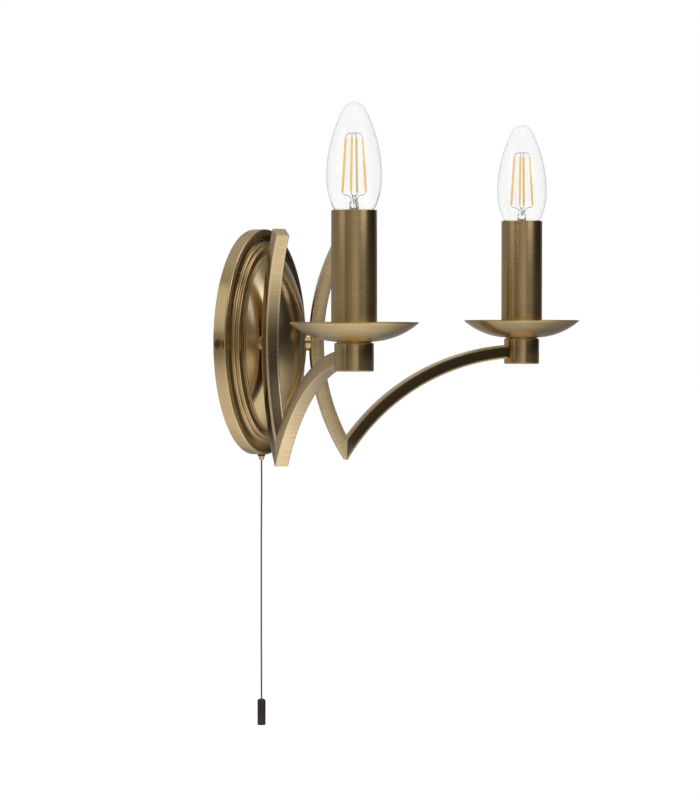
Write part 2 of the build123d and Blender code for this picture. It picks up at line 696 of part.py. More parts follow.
def glass_profile(plane, sheet):
    """Half of the lamp's candle-shaped glass, drawn inside its face by the sheet."""
    widest = GLASS_DIAMETER / 2
    nose_z = GLASS_TOP - GLASS_NOSE_RADIUS
    rise = nose_z - GLASS_WIDEST_Z
    upper_radius = (widest ** 2 + rise ** 2 - GLASS_NOSE_RADIUS ** 2) / (2 * (widest - GLASS_NOSE_RADIUS))
    upper_centre = Vector(widest - upper_radius, GLASS_WIDEST_Z)
    lower_centre = Vector(widest - GLASS_LOWER_RADIUS, GLASS_WIDEST_Z)
    nose_centre = Vector(0, nose_z)
    join_angle = math.degrees(math.atan2(rise, upper_radius - widest))
    flare_angle = -math.degrees(math.asin((GLASS_WIDEST_Z - GLASS_FLARE_TOP) / GLASS_LOWER_RADIUS))
    lower, upper, nose = (radius - sheet for radius in (GLASS_LOWER_RADIUS, upper_radius, GLASS_NOSE_RADIUS))
    neck = COLLAR_DIAMETER / 2 - CAP_SHEET - sheet
    flare = on_arc(lower_centre, lower, flare_angle)
    with BuildSketch(plane) as half:
        with BuildLine():
            Polyline((0, nose_z + nose), (0, glass_foot), (neck, glass_foot), (neck, GLASS_NECK_TOP), flare)
            ThreePointArc(flare, on_arc(lower_centre, lower, flare_angle / 2), on_arc(lower_centre, lower, 0))
            ThreePointArc(
                on_arc(upper_centre, upper, 0),
                on_arc(upper_centre, upper, join_angle / 2),
                on_arc(upper_centre, upper, join_angle),
            )
            ThreePointArc(
                on_arc(nose_centre, nose, join_angle),
                on_arc(nose_centre, nose, (join_angle + 90) / 2),
                (0, nose_z + nose),
            )
        make_face()
    return half.sketch


def rod(start, end, diameter):
    """Add a straight round rod between two points."""
    with BuildSketch(Plane(origin=start, z_dir=end - start)) as section:
        Circle(diameter / 2)
    extrude(section.sketch, amount=(end - start).length)


for side_name, side in SIDES:
    plane = arm_plane(side)
    cup_foot = cup_plane(side, 0)
    cup_axis = Axis(cup_foot.origin, (0, 0, 1))
    centre = (cup_foot.origin.X, cup_foot.origin.Y)
    upright = Plane(origin=cup_foot.origin, x_dir=plane.x_dir, z_dir=plane.z_dir)

    with BuildPart() as cup:
        turned(CUP_DIAMETER, CUP_BOTTOM, cup_top, centre)
        fillet(cup.edges(), radius=CUP_EDGE)
        bored(NIPPLE_DIAMETER, cup_top - CUP_BORE_DEPTH, cup_top, centre)
        with BuildSketch(Plane(origin=upright.origin + Vector(0, 0, CUP_ENTRY_Z), z_dir=plane.x_dir * -1)):
            Circle(CUP_WIRE_BORE / 2)
        extrude(amount=CUP_DIAMETER, mode=Mode.SUBTRACT)
    cup.part.label = f"{side_name}_cup"
    export_step(cup.part, f"parts/{side_name}_cup.step")

    with BuildPart() as nipple:
        turned(NIPPLE_DIAMETER, cup_top - NIPPLE_ENTRY, base_top, centre)
        bored(NIPPLE_BORE, cup_top - NIPPLE_ENTRY, base_top, centre)
    nipple.part.label = f"{side_name}_nipple"
    export_step(nipple.part, f"parts/{side_name}_nipple.step")

    with BuildPart() as drip_pan:
        hole_reach = NIPPLE_DIAMETER / 2
        foot_reach = PAN_FOOT_DIAMETER / 2
        foot_top = (foot_reach, pan_height(foot_reach, pan_radius))
        pan_centre = Vector(PAN_FLAT, pan_underside + pan_radius)
        rim_outer = Vector(PAN_DIAMETER / 2, pan_rim)
        rim_inner = rim_outer + (pan_centre - rim_outer).normalized() * PAN_SHEET
        middle = (foot_reach + PAN_DIAMETER / 2) / 2
        with BuildSketch(upright):
            with BuildLine():
                Polyline((hole_reach, pan_inside), (hole_reach, cup_top), (foot_reach, cup_top), foot_top)
                ThreePointArc(foot_top, (middle, pan_height(middle, pan_radius)), rim_outer)
                Line(rim_outer, rim_inner)
                ThreePointArc(
                    rim_inner, (middle, pan_height(middle, pan_radius - PAN_SHEET)), (PAN_FLAT, pan_inside)
                )
                Line((PAN_FLAT, pan_inside), (hole_reach, pan_inside))
            make_face()
        revolve(axis=cup_axis)
        fillet(drip_pan.edges().group_by(Axis.Z)[-2:], radius=PAN_SHEET / 3)
    drip_pan.part.label = f"{side_name}_drip_pan"
    export_step(drip_pan.part, f"parts/{side_name}_drip_pan.step")

    with BuildPart() as pan_nut:
        with BuildSketch(cup_plane(side, pan_inside)):
            RegularPolygon(PAN_NUT_ACROSS_FLATS / 2, 6, major_radius=False)
            Circle(NIPPLE_DIAMETER / 2, mode=Mode.SUBTRACT)
        extrude(amount=PAN_NUT_THICKNESS)
    pan_nut.part.label = f"{side_name}_pan_nut"
    export_step(pan_nut.part, f"parts/{side_name}_pan_nut.step")

    with BuildPart() as candle_tube:
        tube_foot = pan_height(TUBE_DIAMETER / 2, pan_radius - PAN_SHEET)
        turned(TUBE_DIAMETER, tube_foot, TUBE_TOP, centre)
        bored(TUBE_DIAMETER - 2 * TUBE_SHEET, tube_foot, TUBE_TOP, centre)
    candle_tube.part.label = f"{side_name}_candle_tube"
    export_step(candle_tube.part, f"parts/{side_name}_candle_tube.step")

    with BuildPart() as lampholder:
        turned(HOLDER_DIAMETER, pan_nut_top, HOLDER_TOP, centre)
        turned(HOLDER_RIM, HOLDER_TOP - HOLDER_RIM_HEIGHT, HOLDER_TOP, centre)
        bored(NIPPLE_DIAMETER, pan_nut_top, base_top, centre)
        bored(HOLDER_CHAMBER, base_top, well_floor - HOLDER_FLOOR, centre)
        bored(CAP_DIAMETER + 2 * CAP_CLEARANCE, well_floor, HOLDER_TOP, centre)
    lampholder.part.label = f"{side_name}_lampholder"
    export_step(lampholder.part, f"parts/{side_name}_lampholder.step")

    with BuildPart() as holder_contact:
        turned(CONTACT_DIAMETER, well_floor, lamp_tip_end - CONTACT_GAP, centre)
    holder_contact.part.label = f"{side_name}_holder_contact"
    export_step(holder_contact.part, f"parts/{side_name}_holder_contact.step")

    with BuildPart() as lamp_cap:
        turned(CAP_DIAMETER, cap_end, glass_foot, centre)
        turned(COLLAR_DIAMETER, collar_underside, collar_underside + COLLAR_HEIGHT, centre)
        bored(CAP_DIAMETER - 2 * CAP_SHEET, cap_end, glass_foot, centre)
        bored(COLLAR_DIAMETER - 2 * CAP_SHEET, glass_foot, collar_underside + COLLAR_HEIGHT, centre)
    lamp_cap.part.label = f"{side_name}_lamp_cap"
    export_step(lamp_cap.part, f"parts/{side_name}_lamp_cap.step")

    with BuildPart() as lamp_insulator:
        with BuildSketch(cup_plane(side, cap_end)):
            Circle(CAP_DIAMETER / 2)
        with BuildSketch(cup_plane(side, lamp_tip_top)):
            Circle(LAMP_TIP_DIAMETER / 2)
        loft()
    lamp_insulator.part.label = f"{side_name}_lamp_insulator"
    export_step(lamp_insulator.part, f"parts/{side_name}_lamp_insulator.step")

    with BuildPart() as lamp_tip:
        turned(LAMP_TIP_DIAMETER, lamp_tip_end, lamp_tip_top, centre)
    lamp_tip.part.label = f"{side_name}_lamp_tip"
    export_step(lamp_tip.part, f"parts/{side_name}_lamp_tip.step")

    with BuildPart() as lamp_glass:
        revolve(glass_profile(upright, 0), axis=cup_axis)
        revolve(glass_profile(upright, GLASS_SHEET), axis=cup_axis, mode=Mode.SUBTRACT)
    lamp_glass.part.label = f"{side_name}_lamp_glass"
    export_step(lamp_glass.part, f"parts/{side_name}_lamp_glass.step")

    with BuildPart() as lamp_stem:
        turned(COLLAR_DIAMETER - 2 * CAP_SHEET - 2 * GLASS_SHEET, glass_foot, glass_foot + STEM_FOOT, centre)
        turned(STEM_DIAMETER, glass_foot, STEM_TOP, centre)
        fillet(lamp_stem.edges().group_by(Axis.Z)[-1], radius=STEM_DIAMETER / 4)
    lamp_stem.part.label = f"{side_name}_lamp_stem"
    export_step(lamp_stem.part, f"parts/{side_name}_lamp_stem.step")

    stick_ends = []
    for index in range(FILAMENT_COUNT):
        angle = math.radians(FILAMENT_TURN + 360 * index / FILAMENT_COUNT)
        spoke = Vector(math.cos(angle), math.sin(angle), 0)
        low = cup_foot.origin + spoke * (FILAMENT_CIRCLE_BOTTOM / 2) + Vector(0, 0, FILAMENT_BOTTOM)
        high = cup_foot.origin + spoke * (FILAMENT_CIRCLE_TOP / 2) + Vector(0, 0, FILAMENT_TOP)
        stick_ends.append((low, high))
    with BuildPart() as lamp_filaments:
        for low, high in stick_ends:
            rod(low, high, FILAMENT_DIAMETER)
    lamp_filaments.part.label = f"{side_name}_lamp_filaments"
    export_step(lamp_filaments.part, f"parts/{side_name}_lamp_filaments.step")

    with BuildPart() as lamp_leads:
        hub = cup_foot.origin + Vector(0, 0, FILAMENT_TOP + LEAD_RING_LIFT)
        root = cup_foot.origin + Vector(0, 0, STEM_TOP - LEAD_RING_LIFT)
        for low, high in stick_ends:
            rod(high, hub, LEAD_DIAMETER)
            rod(root, low, LEAD_DIAMETER)
        add(lamp_stem.part, mode=Mode.SUBTRACT)
        add(lamp_filaments.part, mode=Mode.SUBTRACT)
    lamp_leads.part.label = f"{side_name}_lamp_leads"
    export_step(lamp_leads.part, f"parts/{side_name}_lamp_leads.step")
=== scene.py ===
"""A two-arm wall light with candle lamps and a pull switch, dressed for its picture.

Every size is in millimetres until a mesh is finished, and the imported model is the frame
that each piece is placed in: +X right, -Y out of the wall, +Z up.
"""

from __future__ import annotations

import json
import logging
import math
from dataclasses import dataclass, field
from enum import Enum
from typing import Callable, Iterable, Sequence

import bmesh
import bpy
from mathutils import Matrix, Vector

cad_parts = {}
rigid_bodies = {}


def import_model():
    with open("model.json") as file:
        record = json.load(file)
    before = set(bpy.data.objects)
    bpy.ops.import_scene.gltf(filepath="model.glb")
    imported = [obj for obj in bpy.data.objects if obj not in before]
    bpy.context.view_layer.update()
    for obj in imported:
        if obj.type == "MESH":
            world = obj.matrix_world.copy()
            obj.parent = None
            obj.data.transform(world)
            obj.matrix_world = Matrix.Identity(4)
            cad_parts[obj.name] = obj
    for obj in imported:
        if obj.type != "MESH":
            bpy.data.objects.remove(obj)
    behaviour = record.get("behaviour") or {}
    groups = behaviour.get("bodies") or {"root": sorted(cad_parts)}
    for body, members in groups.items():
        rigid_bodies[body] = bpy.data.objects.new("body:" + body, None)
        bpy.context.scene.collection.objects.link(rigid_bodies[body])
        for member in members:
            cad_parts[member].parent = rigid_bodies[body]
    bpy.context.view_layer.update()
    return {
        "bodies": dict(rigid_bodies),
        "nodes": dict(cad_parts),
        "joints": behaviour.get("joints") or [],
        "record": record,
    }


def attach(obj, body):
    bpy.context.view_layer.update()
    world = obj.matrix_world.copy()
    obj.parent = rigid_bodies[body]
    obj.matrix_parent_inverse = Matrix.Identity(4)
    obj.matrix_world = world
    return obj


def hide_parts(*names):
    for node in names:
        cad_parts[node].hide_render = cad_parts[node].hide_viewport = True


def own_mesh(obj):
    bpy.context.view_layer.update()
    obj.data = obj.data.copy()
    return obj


log = logging.getLogger("wall_light")

Colour = tuple[float, float, float]
Point2 = tuple[float, float]
Stop = tuple[float, float | Colour]
Grain = Callable[[Vector], tuple[float, float]]
Shade = Callable[[Vector, Vector], float]
GRAIN_MAP = "brushing"
SECTION_MAP = "bar_section"
# Painted shade: the name of the attribute that holds each corner's share of brown wash and painted
# shade.
BROWN_AND_SHADE = "browning"
ROUND_GRAIN = 14.0


class Side(Enum):
    """The two arms, by the side of the plate that each stands on."""

    LEFT = -1
    RIGHT = 1

    @property
    def word(self) -> str:
        """The side's name as the nodes spell it."""
        return self.name.lower()

    @property
    def lamp_body(self) -> str:
        """The body that this side's lamp moves with."""
        return f"{self.word}_lamp"


# ------------------------------------------------------------------ the bench


def clear_selection() -> None:
    """Leave edit mode and deselect everything."""
    if bpy.context.mode != "OBJECT":
        bpy.ops.object.mode_set(mode="OBJECT")
    bpy.ops.object.select_all(action="DESELECT")


def take_up(piece: bpy.types.Object) -> None:
    """Make one piece the only selected and active one.

    Args:
        piece: The piece to work on.
    """
    clear_selection()
    piece.select_set(True)
    bpy.context.view_layer.objects.active = piece


def edit(piece: bpy.types.Object) -> None:
    """Open a piece for editing with all of it selected.

    Args:
        piece: The mesh to open.
    """
    take_up(piece)
    bpy.ops.object.mode_set(mode="EDIT")
    bpy.ops.mesh.select_all(action="SELECT")


def bake_place(piece: bpy.types.Object) -> None:
    """Move a piece's place, turn and scale from its object into its mesh.

    Args:
        piece: The piece to settle.
    """
    take_up(piece)
    bpy.ops.object.transform_apply(location=True, rotation=True, scale=True)


def choose_faces(piece: bpy.types.Object, test: Callable[[Vector, Vector], bool]) -> None:
    """In edit mode, select the faces that pass a test on their centre and normal.

    Args:
        piece: The mesh that is open for editing.
        test: Says whether a face with this centre and normal is wanted.
    """
    bpy.ops.mesh.select_mode(type="FACE")
    bpy.ops.mesh.select_all(action="DESELECT")
    form = bmesh.from_edit_mesh(piece.data)
    for face in form.faces:
        if test(face.calc_center_median(), face.normal):
            face.select_set(True)
    form.select_flush(True)
    bmesh.update_edit_mesh(piece.data)


def close_up(piece: bpy.types.Object, smooth_to: float = 32.0) -> None:
    """Merge a mesh's doubles, turn its faces outwards and shade it.

    Args:
        piece: The mesh to finish.
        smooth_to: The sharpest angle in degrees that is still shaded smooth.
    """
    edit(piece)
    bpy.ops.mesh.remove_doubles(threshold=0.00002)
    bpy.ops.mesh.select_all(action="SELECT")
    bpy.ops.mesh.normals_make_consistent(inside=False)
    bpy.ops.object.mode_set(mode="OBJECT")
    bpy.ops.object.shade_smooth_by_angle(angle=math.radians(smooth_to))


def millimetres(piece: bpy.types.Object) -> None:
    """Bring a piece that was shaped in millimetres down to metres.

    Args:
        piece: The mesh to scale about the origin.
    """
    take_up(piece)
    bpy.ops.transform.resize(value=(0.001, 0.001, 0.001), center_override=(0, 0, 0))
    bake_place(piece)


def finish_modifier(piece: bpy.types.Object, kind: str, **settings: object) -> None:
    """Add a modifier to a piece, set it and apply it.

    Args:
        piece: The piece to change.
        kind: The modifier's type.
        settings: Its settings by name.
    """
    take_up(piece)
    bpy.ops.object.modifier_add(type=kind)
    modifier = piece.modifiers[-1]
    for name, value in settings.items():
        setattr(modifier, name, value)
    bpy.ops.object.modifier_apply(modifier=modifier.name)


def map_grain(piece: bpy.types.Object, grain: Grain, around: float = 0.0) -> None:
    """Write the map that brush strokes follow: u runs across them and v along them.

    Args:
        piece: The finished mesh, in metres.
        grain: Gives u and v in millimetres for a point in millimetres.
        around: The length of one turn of v, where v closes on itself.
    """
    mesh = piece.data
    if GRAIN_MAP not in mesh.uv_layers:
        mesh.uv_layers.new(name=GRAIN_MAP)
    for spare in [one.name for one in mesh.uv_layers if one.name != GRAIN_MAP]:
        mesh.uv_layers.remove(mesh.uv_layers[spare])
    layer = mesh.uv_layers[GRAIN_MAP]
    for polygon in mesh.polygons:
        middle = grain(Vector(polygon.center) * 1000.0)[1]
        for loop in polygon.loop_indices:
            corner = Vector(mesh.vertices[mesh.loops[loop].vertex_index].co) * 1000.0
            u, v = grain(corner)
            if around:
                v += around * round((middle - v) / around)
            layer.data[loop].uv = (u, v)
    layer.active = True
    layer.active_render = True


def brown_down(piece: bpy.types.Object, section: Grain, shade: Shade) -> None:
    """Write where a piece carries a brown wash and painted shade, and the map that sets how these
    thin out towards a bar's edges.

    Args:
        piece: The finished piece, in metres.
        section: Gives a point's place in a bar's square section, in millimetres.
        shade: Gives the share of brown wash and painted shade, from 0 to 1, for a point in
            millimetres and a normal.
    """
    mesh = piece.data
    mesh.uv_layers.new(name=SECTION_MAP)
    mesh.attributes.new(BROWN_AND_SHADE, "FLOAT", "CORNER")
    layer = mesh.uv_layers[SECTION_MAP]
    browning = mesh.attributes[BROWN_AND_SHADE]
    for polygon in mesh.polygons:
        for loop in polygon.loop_indices:
            corner = Vector(mesh.vertices[mesh.loops[loop].vertex_index].co) * 1000.0
            layer.data[loop].uv = section(corner)
            # Painted shade: each corner's share of brown wash and painted shade is written here.
            browning.data[loop].value = shade(corner, polygon.normal)
    mesh.uv_layers.active = mesh.uv_layers[GRAIN_MAP]
    mesh.uv_layers[GRAIN_MAP].active_render = True


def hump(value: float, low: float, high: float) -> float:
    """A flat-topped hump: one between two values, and nothing from either outwards.

    Args:
        value: Where it is read.
        low: Where it starts.
        high: Where it ends.

    Returns:
        Its height from 0 to 1.
    """
    return max(0.0, 1.0 - ((2 * value - low - high) / (high - low)) ** 4)


@dataclass
class Outline:
    """Half of a turned piece, drawn point by point from its foot."""

    points: list[Point2] = field(default_factory=list)

    def to(self, *points: Point2) -> "Outline":
        """Draw straight on through points.

        Args:
            points: Pairs of distance from the axis and height.

        Returns:
            This outline.
        """
        self.points.extend(points)
        return self

    def arc(
        self, centre: Point2, start: float, end: float, radius: float, steps: int = 8
    ) -> "Outline":
        """Draw an arc.

        Args:
            centre: The arc's centre.
            start: Where it starts, in degrees from straight out.
            end: Where it ends, in degrees.
            radius: Its radius.
            steps: How many chords it has.

        Returns:
            This outline.
        """
        for step in range(steps + 1):
            angle = math.radians(start + (end - start) * step / steps)
            reach, height = radius * math.cos(angle), radius * math.sin(angle)
            self.points.append((centre[0] + reach, centre[1] + height))
        return self


def turn_on_lathe(name: str, outline: Outline, axis: Vector, steps: int = 96) -> bpy.types.Object:
    """Turn an outline round an upright axis.

    Args:
        name: The new piece's name.
        outline: Its half section; a closed ring of points for a hollow piece.
        axis: A point that the axis passes through, in millimetres.
        steps: How many steps make a full turn.

    Returns:
        The turned piece, in metres, at the origin.
    """
    clear_selection()
    bpy.ops.mesh.primitive_plane_add(size=0.1, location=(0, 0, 0))
    piece = bpy.context.object
    piece.name = piece.data.name = name
    bpy.ops.object.mode_set(mode="EDIT")
    bpy.ops.mesh.select_mode(type="VERT")
    bpy.ops.mesh.select_all(action="SELECT")
    bpy.ops.mesh.merge(type="CENTER")
    here = Vector((axis.x + outline.points[0][0], axis.y, axis.z + outline.points[0][1]))
    bpy.ops.transform.translate(value=here)
    for reach, height in outline.points[1:]:
        there = Vector((axis.x + reach, axis.y, axis.z + height))
        if (there - here).length < 1e-5:
            continue
        bpy.ops.mesh.extrude_region_move(TRANSFORM_OT_translate={"value": there - here})
        here = there
    bpy.ops.mesh.select_all(action="SELECT")
    bpy.ops.mesh.spin(steps=steps, angle=2 * math.pi, center=axis, axis=(0, 0, 1))
    millimetres(piece)
    close_up(piece)
    return piece


def upright_grain(axis: Vector) -> Grain:
    """Strokes that run round an upright axis.

    Args:
        axis: A point on it, in millimetres.

    Returns:
        The grain: u along the piece's section and v round it.
    """

    def grain(point: Vector) -> tuple[float, float]:
        """Read the grain at a point."""
        across, along = point.x - axis.x, point.y - axis.y
        return math.hypot(across, along) + point.z, math.atan2(along, across) * ROUND_GRAIN

    return grain


def carry(
    piece: bpy.types.Object,
    finish: "Finish",
    body: str,
    nodes: Sequence[str] = (),
) -> bpy.types.Object:
    """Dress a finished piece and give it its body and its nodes.

    Args:
        piece: The finished piece.
        finish: What it is made of.
        body: The body that it moves with.
        nodes: The nodes that it stands for.

    Returns:
        The piece.
    """
    piece.data.materials.clear()
    piece.data.materials.append(finish.material())
    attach(piece, body)
    if nodes:
        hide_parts(*nodes)
    faces = len(getattr(piece.data, "polygons", ()))
    log.info("%s: %d faces, stands for %s", piece.name, faces, ", ".join(nodes))
    return piece


# ------------------------------------------------------------------ finishes


class Nodes:
    """A node tree, with short calls for what the finishes and the studio share."""

    def __init__(self, tree: bpy.types.NodeTree) -> None:
        """Take a tree up.

        Args:
            tree: The tree to work in.
        """
        self.tree = tree

    def node(self, kind: str, **settings: object) -> bpy.types.Node:
        """Add a node.

        Args:
            kind: The node's type.
            settings: Its own settings by name.

        Returns:
            The node.
        """
        made = self.tree.nodes.new(kind)
        for name, value in settings.items():
            setattr(made, name, value)
        return made

    def link(self, start: bpy.types.NodeSocket, end: bpy.types.NodeSocket) -> None:
        """Join two sockets."""
        self.tree.links.new(start, end)

    def reckon(self, operation: str, *values: bpy.types.NodeSocket) -> bpy.types.NodeSocket:
        """Work one value out from others.

        Args:
            operation: What is done to them.
            values: The values, in order.

        Returns:
            The result.
        """
        made = self.node("ShaderNodeMath", operation=operation)
        for value, socket in zip(values, made.inputs):
            self.link(value, socket)
        return made.outputs[0]

    def stretch(
        self,
        value: bpy.types.NodeSocket,
        low: float,
        high: float,
        start: float = 0.0,
        end: float = 1.0,
        kind: str = "LINEAR",
    ) -> bpy.types.NodeSocket:
        """Bring a value from one range to another.

        Args:
            value: The value to change.
            low: What start becomes.
            high: What end becomes.
            start: The range's low end.
            end: The range's high end.
            kind: How it goes from one end to the other.

        Returns:
            The changed value.
        """
        made = self.node("ShaderNodeMapRange", interpolation_type=kind)
        self.link(value, made.inputs["Value"])
        ends = {"From Min": start, "From Max": end, "To Min": low, "To Max": high}
        for name, number in ends.items():
            made.inputs[name].default_value = number
        return made.outputs["Result"]

    def blend(
        self,
        share: bpy.types.NodeSocket,
        first: Colour | bpy.types.NodeSocket,
        second: Colour | bpy.types.NodeSocket,
    ) -> bpy.types.NodeSocket:
        """Mix two colours by a share.

        Args:
            share: How much of the second.
            first: The colour at 0.
            second: The colour at 1.

        Returns:
            The mixed colour.
        """
        made = self.node("ShaderNodeMix", data_type="RGBA")
        self.link(share, made.inputs[0])
        for tint, socket in ((first, made.inputs[6]), (second, made.inputs[7])):
            if isinstance(tint, bpy.types.NodeSocket):
                self.link(tint, socket)
            else:
                socket.default_value = (*tint, 1.0)
        return made.outputs[2]

    def turn_share(self, place: bpy.types.NodeSocket, camera_turn: float) -> bpy.types.NodeSocket:
        """How far round a direction lies, from the way to the camera.

        Args:
            place: The direction, or a point seen from the origin.
            camera_turn: The camera's turn in degrees.

        Returns:
            0 to 1, a half on the camera's side and more to its right.
        """
        turn = math.radians(camera_turn)
        right = (math.cos(turn), -math.sin(turn), 0.0)
        towards = (-math.sin(turn), -math.cos(turn), 0.0)
        sides = []
        for axis in (right, towards):
            dot = self.node("ShaderNodeVectorMath", operation="DOT_PRODUCT")
            dot.inputs[1].default_value = axis
            self.link(place, dot.inputs[0])
            sides.append(dot.outputs["Value"])
        return self.stretch(self.reckon("ARCTAN2", *sides), 0.0, 1.0, -math.pi, math.pi)

    def ring(self, share: bpy.types.NodeSocket, stops: Sequence[Stop]) -> bpy.types.NodeSocket:
        """Colours that change all the way round.

        Args:
            share: Where they are read, from turn_share.
            stops: Turns in degrees from -180 to 180, each with a colour or a grey.

        Returns:
            The colour.
        """
        ramp = self.node("ShaderNodeValToRGB")
        self.link(share, ramp.inputs["Fac"])
        bar = ramp.color_ramp
        bar.interpolation = "EASE"
        for index, (turn, tint) in enumerate(stops):
            place = (turn + 180.0) / 360.0
            stop = bar.elements[index] if index < 2 else bar.elements.new(place)
            stop.position = place
            stop.color = (*(tint if isinstance(tint, tuple) else (tint,) * 3), 1.0)
        return ramp.outputs["Color"]


class Shading(Nodes):
    """A material's nodes."""

    def __init__(self, name: str) -> None:
        """Start a material with a bare surface shader.

        Args:
            name: The material's name.
        """
        self.material = bpy.data.materials.new(name)
        self.material.use_nodes = True
        super().__init__(self.material.node_tree)
        self.surface = self.tree.nodes["Principled BSDF"]

    def place(
        self, grain: bool, scale: tuple[float, float, float] = (1.0, 1.0, 1.0)
    ) -> bpy.types.NodeSocket:
        """Coordinates on the piece.

        Args:
            grain: Whether to follow the brushing map instead of the object's own space.
            scale: How much to enlarge each direction.

        Returns:
            The vector to read a pattern at.
        """
        mapping = self.node("ShaderNodeMapping")
        mapping.inputs["Scale"].default_value = scale
        if grain:
            source = self.node("ShaderNodeUVMap", uv_map=GRAIN_MAP).outputs["UV"]
        else:
            source = self.node("ShaderNodeTexCoord").outputs["Object"]
        self.link(source, mapping.inputs["Vector"])
        return mapping.outputs["Vector"]

    def noise(
        self, place: bpy.types.NodeSocket, scale: float, detail: float = 3.0, roughness: float = 0.6
    ) -> bpy.types.NodeSocket:
        """A noise read at a place.

        Args:
            place: The vector to read it at.
            scale: Its scale.
            detail: How many octaves it has.
            roughness: How strong the small ones are.

        Returns:
            Its value from 0 to 1.
        """
        made = self.node("ShaderNodeTexNoise")
        made.inputs["Scale"].default_value = scale
        made.inputs["Detail"].default_value = detail
        made.inputs["Roughness"].default_value = roughness
        self.link(place, made.inputs["Vector"])
        return made.outputs["Fac"]

    def relief(self, height: bpy.types.NodeSocket, strength: float, distance: float) -> None:
        """Raise the surface by a height.

        Args:
            height: The height from 0 to 1.
            strength: How much of it shows.
            distance: The height's full rise in metres.
        """
        bump = self.node("ShaderNodeBump")
        bump.inputs["Strength"].default_value = strength
        bump.inputs["Distance"].default_value = distance
        self.link(height, bump.inputs["Height"])
        self.link(bump.outputs["Normal"], self.surface.inputs["Normal"])


@dataclass(frozen=True)
class Finish:
    """What a piece is made of."""

    name: str

    def material(self) -> bpy.types.Material:
        """The finish's material, made once.

        Returns:
            The material.
        """
        known = bpy.data.materials.get(self.name)
        if known:
            return known
        shading = Shading(self.name)
        self.dress(shading)
        return shading.material

    def dress(self, shading: Shading) -> None:
        """Set the surface up.

        Args:
            shading: The new material's nodes.
        """
        raise NotImplementedError


@dataclass(frozen=True)
class AntiqueBrass(Finish):
    """Brass that is brushed through and lacquered, with a brown wash and painted shade on the
    pieces that carry them.
    """

    light: Colour = (0.62, 0.445, 0.215)
    brown: Colour = (0.44, 0.30, 0.13)
    strokes_per_mm: float = 3.0
    bands_per_mm: float = 0.8
    stroke_run: float = 0.10
    band_run: float = 0.045
    patina_scale: float = 38.0
    roughness: tuple[float, float] = (0.24, 0.36)
    stretch_along: float = 0.6
    relief: float = 0.10
    # Painted shade: the dark colour of the brown wash and painted shade, and how far in from a
    # bar's edges it is full.
    left_brown: Colour | None = None
    brown_face: float = 2.7
    rubbed_edge: float = 4.25

    def dress(self, shading: Shading) -> None:
        """Set the brushed and browned surface up.

        Args:
            shading: The new material's nodes.
        """
        surface = shading.surface
        surface.inputs["Metallic"].default_value = 1.0
        if self.stretch_along:
            surface.inputs["Anisotropic"].default_value = self.stretch_along
            tangent = shading.node("ShaderNodeTangent", direction_type="UV_MAP", uv_map=GRAIN_MAP)
            shading.link(tangent.outputs["Tangent"], surface.inputs["Tangent"])
        strokes = shading.place(True, (self.strokes_per_mm, self.stroke_run, 1.0))
        bands = shading.place(True, (self.bands_per_mm, self.band_run, 1.0))
        fine = shading.noise(strokes, 1.0, 2.0, 0.6)
        broad = shading.noise(bands, 1.0, 2.0, 0.5)
        patina = shading.noise(shading.place(False), self.patina_scale, 3.0, 0.55)
        worn = shading.stretch(shading.reckon("MULTIPLY", fine, broad), 0.0, 1.0, 0.02, 0.50)
        aged = shading.reckon("MULTIPLY", worn, shading.stretch(patina, 0.75, 1.25, 0.3, 0.7))
        colour = shading.blend(aged, self.brown, self.light)
        if self.left_brown:
            # Painted shade: the brown wash and painted shade go over the brushed colour.
            colour = self.browned(shading, colour, fine)
        shading.link(colour, surface.inputs["Base Color"])
        low, high = self.roughness
        shading.link(shading.stretch(fine, low, high, 0.25, 0.75), surface.inputs["Roughness"])
        surface.inputs["Coat Weight"].default_value = 0.10
        surface.inputs["Coat Roughness"].default_value = 0.18
        if self.relief:
            shading.relief(fine, self.relief, 0.00004)

    def browned(
        self, shading: Shading, colour: bpy.types.NodeSocket, strokes: bpy.types.NodeSocket
    ) -> bpy.types.NodeSocket:
        """Darken by the brown wash and the painted shade, less towards a bar's edges.

        Args:
            shading: The new material's nodes.
            colour: The brushed colour.
            strokes: The brush strokes that cut through the brown wash and the painted shade.

        Returns:
            The colour with the brown wash and the painted shade on it.
        """
        split = shading.node("ShaderNodeSeparateXYZ")
        section = shading.node("ShaderNodeUVMap", uv_map=SECTION_MAP).outputs["UV"]
        shading.link(section, split.inputs[0])
        sizes = [shading.reckon("ABSOLUTE", split.outputs[name]) for name in ("X", "Y")]
        corner = shading.reckon("MINIMUM", *sizes)
        # Painted shade: full in the middle of a bar's faces, thinning out towards its edges.
        middle = shading.stretch(corner, 1.0, 0.12, self.brown_face, self.rubbed_edge)
        brown = shading.node("ShaderNodeAttribute", attribute_name=BROWN_AND_SHADE).outputs["Fac"]
        share = shading.reckon("MULTIPLY", brown, middle)
        share = shading.reckon("MULTIPLY", share, shading.stretch(strokes, 1.08, 0.9, 0.3, 0.7))
        # Painted shade: the dark colour is mixed in by each corner's share of brown wash and
        # painted shade.
        return shading.blend(share, colour, self.left_brown)


@dataclass(frozen=True)
class PlainMetal(Finish):
    """Bare or plated metal on small hardware."""

    colour: Colour = (0.5, 0.5, 0.5)
    roughness: float = 0.35
    mottle: float = 0.25

    def dress(self, shading: Shading) -> None:
        """Set the metal up with a slight mottle.

        Args:
            shading: The new material's nodes.
        """
        surface = shading.surface
        surface.inputs["Metallic"].default_value = 1.0
        cloud = shading.noise(shading.place(False), 260.0, 4.0, 0.6)
        darker = tuple(part * (1.0 - self.mottle) for part in self.colour)
        shading.link(shading.blend(cloud, darker, self.colour), surface.inputs["Base Color"])
        shading.link(
            shading.stretch(cloud, self.roughness - 0.06, self.roughness + 0.08, 0.3, 0.7),
            surface.inputs["Roughness"],
        )
        shading.relief(cloud, 0.08, 0.00005)


